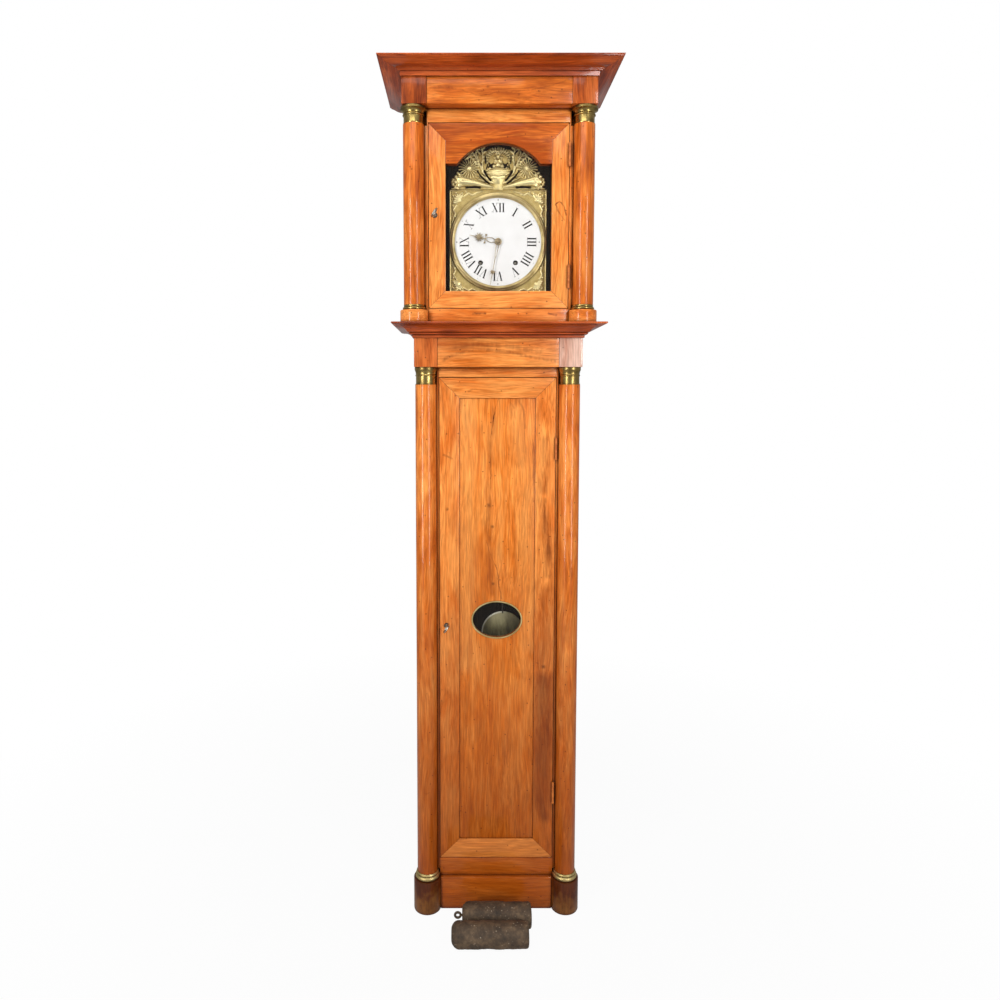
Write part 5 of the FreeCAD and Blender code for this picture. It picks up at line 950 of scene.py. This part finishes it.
def pediment_relief():
    """Basket of flowers between two horns of plenty, daisies and leafy branches."""
    work = Relief((-124.0, -4.0), (124.0, 116.0), 0.8)
    # The beaten ground that carries the raised work, lumpy at its edge
    edge = 104.0 + 3.0 * np.sin(work.x * 0.24) + 2.0 * np.cos(np.abs(work.x) * 0.11 + work.z * 0.3)
    ground = np.minimum((edge - np.hypot(work.x * 1.02, work.z)) / 8.0, (work.z + 4.5) / 4.0)
    work.level = np.maximum(work.level, ground)
    work.height = np.where(ground > 0, 0.8 + 0.3 * np.sin(work.x * 2.1) * np.sin(work.z * 2.3), 0.0)
    # Foot and bowl of the urn, the woven basket on it and its heaped fruit
    work.stroke([(0, 2), (0, 9)], (14, 8), 3.4)
    work.disc(0, 22, 17, 4.6)
    work.stroke([(0, 25), (15, 30)], (9, 6), 4.6)
    body = 1.0 - np.hypot(work.x / 33.0, (work.z - 42.0) / 12.0)
    weave = np.sin(work.x * 0.9 + work.z * 0.8) * np.sin(work.x * 0.9 - work.z * 0.8)
    work.raise_by(body, 4.8)
    work.height = np.where(body > 0.05, work.height + 0.8 * weave, work.height)
    work.stroke([(0, 33), (20, 35), (29, 41)], (2.2, 2.2), 5.2, steps=30)
    work.stroke([(0, 53), (20, 51), (30, 46)], (2.2, 2.2), 5.4, steps=30)
    for x, z, radius in ((0, 62, 7.5), (11, 58, 6.0), (5, 72, 6.5), (0, 82, 6.0), (9, 80, 4.5), (21, 55, 5.0),
                         (9, 67, 4.0), (4, 90, 4.5)):
        work.disc(x, z, radius, 6.0)
    # Shell of leaves over the basket
    for turn in range(0, 9):
        angle = math.radians(88 - turn * 13.0)
        near, far = 14.0 + 1.6 * turn, 32.0 + 0.5 * turn
        leaf(work, (near * math.cos(angle), 76 + near * math.sin(angle)),
             (far * math.cos(angle), 76 + far * math.sin(angle)), 3.6, 5.0, 1.0)
    # Branches that cross the horns and rise beside the basket
    work.stroke([(13, 14), (28, 26), (41, 46), (49, 62), (57, 78), (70, 94)], (3.0, 4.6, 1.8), 5.6, steps=40)
    work.stroke([(15, 18), (33, 34), (43, 58)], (2.4, 3.8, 1.8), 5.8, steps=26)
    work.stroke([(42, 54), (40, 72), (41, 90), (46, 110)], (3.0, 3.6, 1.4), 5.4, steps=30)
    for start, end in (
            ((50, 60), (62, 72)), ((53, 68), (70, 78)), ((57, 76), (78, 84)), ((60, 84), (84, 90)),
            ((50, 70), (52, 86)), ((54, 80), (58, 99)), ((62, 88), (68, 102)), ((44, 66), (32, 74)),
            ((42, 76), (28, 84)), ((42, 86), (30, 96)), ((44, 94), (34, 106)), ((46, 88), (56, 104)),
            ((68, 92), (84, 78)), ((72, 90), (92, 72)), ((46, 98), (54, 112))):
        leaf(work, start, end, 3.6, 5.0)
    # Daisies beside the branches
    work.flower(76, 53, 8.0, 29, 20, 5.6)
    for k in range(7):
        angle = k * math.pi / 3.5
        work.disc(76 + 5.0 * math.cos(angle), 53 + 5.0 * math.sin(angle), 2.0, 6.0)
    # Long petals between the horns and the branches
    for k in range(5):
        work.stroke([(17, 14 + 1.2 * k), (34 - 0.5 * k, 18 + 4.6 * k), (60 - 5.0 * k, 28 + 6.0 * k)],
                    (1.2, 3.8, 1.0), 4.8, rib=0.3)
    # Horns of plenty, swelling outwards to their heaped flowers
    work.stroke([(14, 4), (36, 8), (62, 14), (86, 17), (100, 19)], (4.0, 8.0, 15.0), 4.6, steps=40)
    for k in range(4):
        work.stroke([(22, 6 + 1.2 * k), (60, 8 + 4.2 * k), (94, 8 + 7.6 * k)], (0.8, 1.2, 1.8), 5.2, steps=34)
    for x, z, radius in (
            (102, 10, 7.5), (103, 26, 7.5), (112, 18, 7), (111, 31, 6), (113, 5, 6), (100, 36, 6),
            (119, 24, 5), (119, 11, 5), (94, 19, 6), (106, 40, 4.5), (106, 1, 5), (121, 17, 4)):
        work.disc(x, z, radius, 6.0)
        work.disc(x + 1.5, z + 1.0, radius * 0.35, 6.4)
    # The moulded edge that joins the pediment to the plate
    work.stroke([(0, 0.0), (122, 0.0)], (2.2, 2.2), 2.6, steps=120)
    # Holes through the work: beside the basket, under its branches and under the horns
    for points, radius in (
            ([(20, 60)], 4.2), ([(24, 66), (17, 54)], 1.8), ([(26, 56), (14, 64)], 1.8),
            ([(36, 46), (34, 40), (26, 29), (20, 22)], 2.2), ([(31, 52), (28, 62)], 1.3),
            ([(54, 45), (46, 33), (34, 21), (24, 14)], 1.9), ([(48, 3.6), (62, 4.4), (84, 3.6)], 2.2),
            ([(88, 92)], 2.6), ([(33, 66), (34, 82)], 1.4), ([(66, 98), (62, 92)], 1.2)):
        work.pierce(points, radius)
    work.z = work.z + plate_shoulder
    return work


def plate_relief():
    """Square plate round the bezel: stippled ground, raised borders and scrolls in each corner."""
    work = Relief((-plate_half, plate_low), (plate_half, plate_shoulder - 2.0), 1.0)
    radius = np.hypot(work.x, work.z)
    rectangle = np.minimum(plate_half + 0.5 - np.abs(work.x),
                           np.minimum(work.z - plate_low + 0.5, plate_shoulder - 1.5 - work.z)) / 6.0
    outline = np.minimum(rectangle, (radius - 118.0) / 6.0)
    work.height = 0.5 + 0.45 * np.sin(work.x * 1.9) * np.sin(work.z * 1.9)
    true_z = work.z
    work.z = np.abs(true_z)
    for k in range(7):
        angle = math.radians(-30 + 25 * k)
        leaf(work, (101 + 3 * math.cos(angle), 109 + 3 * math.sin(angle)),
             (101 + 17 * math.cos(angle), 109 + 17 * math.sin(angle)), 3.6, 3.0, 1.0)
    work.disc(101, 109, 5.5, 4.0)
    work.stroke([(110, 96), (118, 84), (113, 74), (118, 62), (121, 48)], (2.6, 3.6, 1.2), 2.8, steps=30)
    work.stroke([(90, 119), (78, 127), (68, 122), (56, 128), (40, 131)], (2.6, 3.6, 1.2), 2.8, steps=30)
    for x, z in ((117, 103), (95, 127), (119, 92), (84, 130), (113, 66), (62, 124), (118, 120), (111, 127)):
        work.disc(x, z, 3.2, 3.0)
    work.stroke([(126.6, 0), (126.6, 138)], (1.0, 1.0), 1.8, steps=160)
    work.z = true_z
    work.stroke([(0, 134.0), (126, 134.0)], (1.4, 1.4), 2.2, steps=140)
    work.stroke([(0, -134.0), (126, -134.0)], (1.4, 1.4), 1.8, steps=140)
    work.level = outline
    return work


def geometry_tree(name, **kinds):
    """A tree of geometry nodes with the given inputs, and what they give."""
    tree = bpy.data.node_groups.new(name, "GeometryNodeTree")
    tree.interface.new_socket("Geometry", in_out="OUTPUT", socket_type="NodeSocketGeometry")
    for label, kind in kinds.items():
        tree.interface.new_socket(label.replace("_", " "), in_out="INPUT", socket_type="NodeSocket" + kind)
    return tree, add_node(tree, "NodeGroupInput").outputs


def repeated(tree, points, shape, finish):
    """Put a shape on each point, as plain mesh with a finish, and give it out."""
    copies = add_node(tree, "GeometryNodeInstanceOnPoints", {"Points": points, "Instance": shape})
    solid = add_node(tree, "GeometryNodeRealizeInstances", {0: copies})
    add_node(tree, "NodeGroupOutput", {
        0: add_node(tree, "GeometryNodeSetMaterial", {0: solid, "Material": finish})})


def bead_tree():
    """A run of equal beads between two points."""
    tree, given = geometry_tree("bead_run", Start="Vector", End="Vector", Beads="Int", Bead_radius="Float",
                                Finish="Material")
    line = add_node(tree, "GeometryNodeMeshLine", {
        "Count": given["Beads"], "Start Location": given["Start"], "Offset": given["End"]}, mode="END_POINTS")
    bead = add_node(tree, "GeometryNodeMeshUVSphere", {
        "Segments": 10, "Rings": 6, "Radius": given["Bead radius"]})
    repeated(tree, line, bead, given["Finish"])
    return tree


def dot_tree():
    """Equal dots round a circle that faces the front."""
    tree, given = geometry_tree("dial_dots", Dots="Int", Circle_radius="Float", Dot_radius="Float",
                                Centre="Vector", Finish="Material")
    facing = (math.pi / 2, 0, 0)
    circle = add_node(tree, "GeometryNodeMeshCircle", {
        "Vertices": given["Dots"], "Radius": given["Circle radius"]}, fill_type="NONE")
    circle = add_node(tree, "GeometryNodeTransform", {
        0: circle, "Translation": given["Centre"], "Rotation": facing})
    dot = add_node(tree, "GeometryNodeMeshCylinder", {
        "Vertices": 12, "Radius": given["Dot radius"], "Depth": 0.5 * MM})
    dot = add_node(tree, "GeometryNodeTransform", {0: dot, "Rotation": facing})
    repeated(tree, circle, dot, given["Finish"])
    return tree


def from_nodes(tree, **sizes):
    """The plain mesh that a tree makes with the given sizes."""
    identifiers = {item.name.replace(" ", "_"): item.identifier for item in tree.interface.items_tree}
    inputs = {identifiers[name]: size for name, size in sizes.items()}
    return shade_smooth(modified(bpy.data.meshes.new("bench"), "NODES", inputs, node_group=tree))


def make_surround():
    """The pediment, the plate and a run of beads along each side of it."""
    plane = dial_y + 3.0
    bead_x, bead_radius, half_run = 122.6, 1.5, 131.0
    make_piece("pediment", pediment_relief().mesh(plane, SHEET, 6.0), "dial_surround", dial_brass)
    make_piece("surround_plate", plate_relief().mesh(plane, SHEET, 3.0), "dial_surround", dial_brass)
    tree = bead_tree()
    for side, hand in SIDES:
        x, y = (dial_x + side * bead_x) * MM, (plane - 0.4 * bead_radius) * MM
        beads = from_nodes(tree, Start=(x, y, (dial_z - half_run) * MM), End=(x, y, (dial_z + half_run) * MM),
                           Beads=56, Bead_radius=bead_radius * MM, Finish=rubbed_brass)
        make_piece(f"border_beads_{hand}", beads, "dial_surround", rubbed_brass, added=True)


# Dial, numerals and hands

dial_dome, dial_radius = 4.0, 115.0


def dome_plane(radius):
    """Y of the domed enamel at a distance from its centre."""
    return dial_y - dial_dome * (1.0 - (radius / dial_radius) ** 2)


# Strokes of each numeral: places across and up its height, and a thick or thin width, in shares
HAIR, BOLD = 0.028, 0.15
LETTERS = {
    "I": (0.30, [((0.15, 0.0), (0.15, 1.0), BOLD)], [(0.0, 0.30)]),
    "V": (0.72, [((0.14, 1.0), (0.38, 0.0), BOLD), ((0.62, 1.0), (0.40, 0.0), HAIR)],
          [(0.0, 0.28), (0.5, 0.72)]),
    "X": (0.72, [((0.12, 1.0), (0.60, 0.0), BOLD), ((0.60, 1.0), (0.12, 0.0), HAIR)],
          [(0.0, 0.26), (0.46, 0.72)]),
}
SERIFS = ((0.0, 0.035), (0.965, 1.0))
LETTER_GAP = 0.06
HOURS = ["XII", "I", "II", "III", "IIII", "V", "VI", "VII", "VIII", "IX", "X", "XI"]
numeral_tall, numeral_base = 24.0, 77.0
ink_rise, ink_thick = 0.22, 0.5


def ink(points):
    """Points and faces of a flat patch of enamel laid on the dome, from its corners on the dial."""
    front = [(dial_x + x, dome_plane(math.hypot(x, z)) - ink_rise, dial_z + z) for x, z in points]
    return front + [(x, y + ink_thick, z) for x, y, z in front], closed_between(len(points))


def make_numerals():
    """Twelve Roman hours with their feet to the centre."""
    points, faces = [], []
    for hour, text in enumerate(HOURS):
        turn = math.radians(90 - 30 * hour)
        outward, across = (math.cos(turn), math.sin(turn)), (math.sin(turn), -math.cos(turn))
        cursor = -(sum(LETTERS[letter][0] for letter in text) + LETTER_GAP * (len(text) - 1)) / 2
        for letter in text:
            advance, strokes, serifs = LETTERS[letter]
            patches = [((u0 - width / 2, v0), (u0 + width / 2, v0),
                        (u1 + width / 2, v1), (u1 - width / 2, v1)) for (u0, v0), (u1, v1), width in strokes]
            patches += [((left, low), (right, low), (right, high), (left, high)) for left, right in serifs
                        for low, high in (SERIFS[1:] if letter == "V" else SERIFS)]
            for patch in patches:
                corners = []
                for u, v in patch:
                    aside, out = (cursor + u) * numeral_tall, numeral_base + v * numeral_tall
                    corners.append(tuple(outward[axis] * out + across[axis] * aside for axis in (0, 1)))
                laid, closed = ink(corners)
                faces += [[index + len(points) for index in face] for face in closed]
                points += laid
            cursor += advance + LETTER_GAP
    make_piece("hour_numerals", mesh_from(points, faces), "enamel_dial", numeral_black, added=True)


def make_dial():
    """The enamel disc with its bezel, its numerals and its dots."""
    for mesh in solids_of("enamel_dial"):
        make_piece("enamel_disc", soften(mesh), "enamel_dial", dial_white)
    bezel = turned([
        (115.3, 3.0), (115.3, -0.4), (114.2, -0.6, 114.6, -2.4, 10), (115.8, -3.2),
        (116.6, -3.6, 119.6, -8.4, 10), (123.4, -5.6), (124.0, -4.8), (124.8, -4.6),
        (126.2, -4.2, 126.9, -3.0, 10), (126.9, 3.0)], (dial_x, dial_y, dial_z), "back", 128, closed=True)
    make_piece("bezel_ring", soften(bezel), "dial_bezel", bezel_brass)
    make_numerals()
    tree, circle = dot_tree(), 109.0
    centre = (dial_x * MM, (dome_plane(circle) - 0.05) * MM, dial_z * MM)
    for count, dot_radius, name in ((12, 0.8, "hour_dots"), (4, 1.5, "quarter_dots")):
        dots = from_nodes(tree, Dots=count, Circle_radius=circle * MM, Dot_radius=dot_radius * MM,
                          Centre=centre, Finish=numeral_black)
        make_piece(name, dots, "enamel_dial", numeral_black, added=True)


def flat_bar(points, widths):
    """Outline of a bent bar of changing width."""
    left, right = [], []
    for index, ((x, z), width) in enumerate(zip(points, widths)):
        ax, az = points[max(index - 1, 0)]
        bx, bz = points[min(index + 1, len(points) - 1)]
        length = math.hypot(bx - ax, bz - az)
        nx, nz = -(bz - az) / length, (bx - ax) / length
        left.append((x + nx * width / 2, z + nz * width / 2))
        right.append((x - nx * width / 2, z - nz * width / 2))
    return left + right[::-1]


def round_outline(x, z, radii, steps):
    """Outline round a centre, whose points take the given radii in turn: a disc, or a star."""
    outline = []
    for k in range(steps):
        radius, angle = radii[k % len(radii)], 2 * math.pi * k / steps
        outline.append((x + radius * math.cos(angle), z + radius * math.sin(angle)))
    return outline


def make_hand(name, node, plane, degrees, outlines):
    """A pierced brass hand: its outlines point up, then turn clockwise to the hour.

    Each outline has a lift off the hand's back and a thickness.
    """
    turn = math.radians(-degrees)
    shape = bmesh.new()
    for outline, lift, thick in outlines:
        laid = [(dial_x + x * math.cos(turn) - z * math.sin(turn),
                 dial_z + x * math.sin(turn) + z * math.cos(turn)) for x, z in outline]
        shape.from_mesh(prism(laid, plane - thick - lift, plane - lift))
    joined = bpy.data.meshes.new("joined")
    shape.to_mesh(joined)
    shape.free()
    make_piece(name, soften(joined, 0.18), node, hand_brass)


def make_hands():
    """The hour hand and the minute hand, with the collet that holds them."""
    hour_back, minute_back = -226.0, -230.0
    hour = [(flat_bar(((side * 2.6, 7), (side * 6.2, 18), (side * 5.0, 27), (side * 1.6, 33)),
                      [1.8, 1.6, 1.5, 1.6]), 0.0, 1.0) for side, _ in SIDES]
    hour += [(flat_bar([(-9.5, 34.5), (9.5, 34.5)], [1.4, 1.4]), 0.0, 1.0),
             (round_outline(-9.8, 34.5, [2.7], 20), 0.1, 1.1),
             (round_outline(9.8, 34.5, [2.7], 20), 0.1, 1.1),
             (flat_bar([(0, 32), (0, 46)], [2.6, 2.2]), 0.05, 1.0),
             (round_outline(0, 51.5, [13.5, 6.0], 20), 0.1, 1.1),
             (round_outline(0, 51.5, [3.2], 20), 0.35, 1.3),
             (flat_bar([(0, 60), (0, 78)], [2.6, 0.7]), 0.05, 1.0),
             (round_outline(0, 0, [9.5], 32), 0.0, 1.0)]
    make_hand("hour_hand_pierced", "hour_hand", hour_back, 283.0, hour)
    minute = [(flat_bar(((side * 3.2, 7), (side * 3.4, 20), (side * 2.2, 32), (side * 0.9, 42)),
                        [1.7, 1.5, 1.4, 1.4]), 0.0, 1.0) for side, _ in SIDES]
    minute += [(flat_bar([(0, 40), (0, 76)], [2.0, 1.8]), 0.05, 1.0),
               (round_outline(0, 81, [7.4, 4.2], 16), 0.1, 1.1),
               (flat_bar([(0, 85), (0, 116)], [2.2, 0.6]), 0.05, 1.0),
               (round_outline(0, 0, [8.6], 32), 0.0, 1.0)]
    make_hand("minute_hand_pierced", "minute_hand", minute_back, 190.4, minute)
    collet = turned([(0, -3.0), (1.6, -3.0, 4.2, -2.4), (5.0, -0.6), (5.0, 0.0), (0, 0.0)],
                    (dial_x, minute_back - 1.0, dial_z), "back", 48)
    make_piece("hand_collet", soften(collet), "minute_hand", hand_brass)


# Weights

WEIGHT_STEPS = 44


def make_weight(node, middle, back, long):
    """A rough casting lying on the floor, rounded at its hanging end, with its eye if it has one."""
    radius, half = 33.0, long / 2
    profile = [(0.0, -half)] + [(13.0 * k / 4, -half) for k in range(1, 4)]
    profile += [(13.0, -half, 27.2, -half + 5.8, 10)]
    profile += [(radius, -half + 20.0 + (long - 26.0) * k / WEIGHT_STEPS) for k in range(WEIGHT_STEPS + 1)]
    profile += [(radius - 1.6, half - 2.4), (radius - 4.5, half - 0.6), (24.0, half), (12.0, half),
                (0.0, half)]
    mesh = turned(profile, (middle, back, radius), "right")
    for vertex in mesh.vertices:
        place = vertex.co
        # Lumps of 30 mm and pits of 7 mm, but not in the middle of the ends or where it lies on the floor
        lump, pits = [noise.fractal(place * per_metre(size_mm), 1.0, 2.0, octaves,
                                    noise_basis="PERLIN_ORIGINAL") for size_mm, octaves in ((30, 4), (7, 3))]
        sink = (max(0.0, 0.9 + lump * 1.6) + max(0.0, pits) * 1.0) * MM
        inward = Vector((0.0, back * MM - place.y, radius * MM - place.z))
        if inward.length > 5 * MM and place.z > 1.2 * MM:
            vertex.co = place + inward.normalized() * min(sink, 2.6 * MM)
    make_piece(f"{node}_casting", shade_smooth(mesh), node, cast_iron)
    for index, solid in enumerate(solids_of(node)):
        if max(vertex.co.x for vertex in solid.vertices) < (middle - half + 2.0) * MM:
            make_piece(f"{node}_eye_{index}", soften(solid), node, cast_iron)


# The whole clock

# The bob's lens is taller than its nut, and the winding squares lie in front of a plane
LENS_TALL, SQUARE_PLANE = 50.0, -155.0

make_columns()
make_case_woodwork()
make_doors()
make_surround()
make_dial()
make_hands()
make_weight("front_weight", -22.0, -379.0, 202.0)
make_weight("rear_weight", -1.5, -306.0, 187.0)
for node in ("fixed_hinges", "hood_door_hinges", "trunk_door_hinges"):
    plain_copies(node, dark_brass)
plain_copies("oval_rim", bezel_brass, 0.3)
for node in ("hood_key", "trunk_key"):
    plain_copies(node, worn_steel)
for node in ("hood_door_lock", "trunk_door_lock"):
    plain_copies(node, forged_iron)
for mesh in solids_of("pendulum_bob"):
    levels = [vertex.co.z for vertex in mesh.vertices]
    name, material = "rating_nut", rubbed_brass
    if max(levels) - min(levels) > LENS_TALL * MM:
        name, material = "bob_lens", bob_brass
    make_piece(name, soften(mesh), "pendulum_bob", material)
for node, hand in (("great_wheel", "left"), ("strike_great_wheel", "right")):
    for mesh in solids_of(node):
        wheel = make_piece(f"winding_wheel_{hand}", soften(mesh), node, rubbed_brass).data
        # The winding square is steel
        wheel.materials.append(worn_steel)
        for face in wheel.polygons:
            if face.center.y < SQUARE_PLANE * MM:
                face.material_index = 1
plain_copies("pendulum_rod", forged_iron)
plain_copies("bell", worn_steel)

# What no piece stands for keeps its CAD mesh, in its slot's finish
for node, item in cad_nodes.items():
    if not item.hide_render:
        item.data.materials.clear()
        item.data.materials.append(MATERIAL_OF_SLOT[slot_of_node[node]])


# Floor, backdrop, light and camera


def backdrop_material():
    """White paper sweep: white to the eye, and it keeps the clock's soft shadow."""
    material, tree = new_material("white_sweep", Base_Color=colour("#C4C4C4"), Roughness=0.9)
    path = add_node(tree, "LightPath")
    seen = add_node(tree, "Math", {
        0: path.outputs["Is Camera Ray"], 1: path.outputs["Is Transmission Ray"]}, operation="MAXIMUM")
    # The shadow fades out between 0.7 and 2 metres from the clock
    place = add_node(tree, "TexCoord").outputs["Object"]
    away = add_node(tree, "VectorMath", {0: place}, operation="LENGTH").outputs["Value"]
    share = add_node(tree, "MapRange", {"Value": away, "From Min": 0.7, "From Max": 2.0, "To Min": 0.955})
    share = add_node(tree, "Math", {0: seen, 1: share}, operation="MULTIPLY")
    glow = add_node(tree, "Emission", {"Color": "#FFFFFF", "Strength": 1.0})
    mixed = add_node(tree, "MixShader", {0: share, 1: tree.nodes["Principled BSDF"], 2: glow})
    tree.links.new(mixed.outputs[0], tree.nodes["Material Output"].inputs["Surface"])
    return material


FLOOR_HALF = 9000
floor = bpy.data.objects.new("floor", mesh_from(
    [(-FLOOR_HALF, -FLOOR_HALF, 0), (FLOOR_HALF, -FLOOR_HALF, 0), (FLOOR_HALF, FLOOR_HALF, 0),
     (-FLOOR_HALF, FLOOR_HALF, 0)], [[0, 1, 2, 3]]))
bpy.context.scene.collection.objects.link(floor)
floor.data.materials.append(backdrop_material())
if floor.data.polygons[0].normal.z < 0:
    floor.data.flip_normals()

world = bpy.data.worlds.new("studio")
bpy.context.scene.world = world
world.use_nodes = True
path = add_node(world.node_tree, "LightPath")
level = add_node(world.node_tree, "MapRange", {"Value": path.outputs["Is Camera Ray"], "To Min": 0.38})
background = world.node_tree.nodes["Background"]
background.inputs["Color"].default_value = colour("#FFFFFF")
world.node_tree.links.new(level.outputs[0], background.inputs["Strength"])


def softbox(name, place, aim, wide, tall, power):
    """A soft lamp that shows as a bright patch in the polish, in metres and watts."""
    lamp = bpy.data.lights.new(name, "AREA")
    lamp.shape = "RECTANGLE"
    lamp.size, lamp.size_y, lamp.energy = wide, tall, power
    lamp_object = bpy.data.objects.new(name, lamp)
    bpy.context.scene.collection.objects.link(lamp_object)
    lamp_object.location = place
    lamp_object.rotation_euler = (Vector(aim) - Vector(place)).to_track_quat("-Z", "Y").to_euler()


softbox("left_softbox", (-2.1, -2.75, 1.75), (0.0, -0.2, 1.25), 0.38, 2.3, 61)
softbox("right_softbox", (1.75, -2.85, 1.75), (0.0, -0.2, 1.25), 0.38, 2.3, 49)
softbox("top_softbox", (-0.4, -1.8, 3.6), (0.0, -0.2, 1.0), 2.0, 1.4, 29)

# The camera was worked out from points of the photograph on known planes of the case
camera = bpy.data.cameras.new("camera")
camera.sensor_fit = "HORIZONTAL"
camera.sensor_width = 36.0
camera.lens = 26.654
camera.shift_x, camera.shift_y = 0.0354, -0.0502
camera_object = bpy.data.objects.new("camera", camera)
bpy.context.scene.collection.objects.link(camera_object)
camera_object.location = (-0.0883, -2.2121, 1.4419)
camera_object.rotation_euler = (math.radians(90 - 4.33), 0, 0)
bpy.context.scene.camera = camera_object
bpy.context.scene.view_settings.view_transform = "Standard"
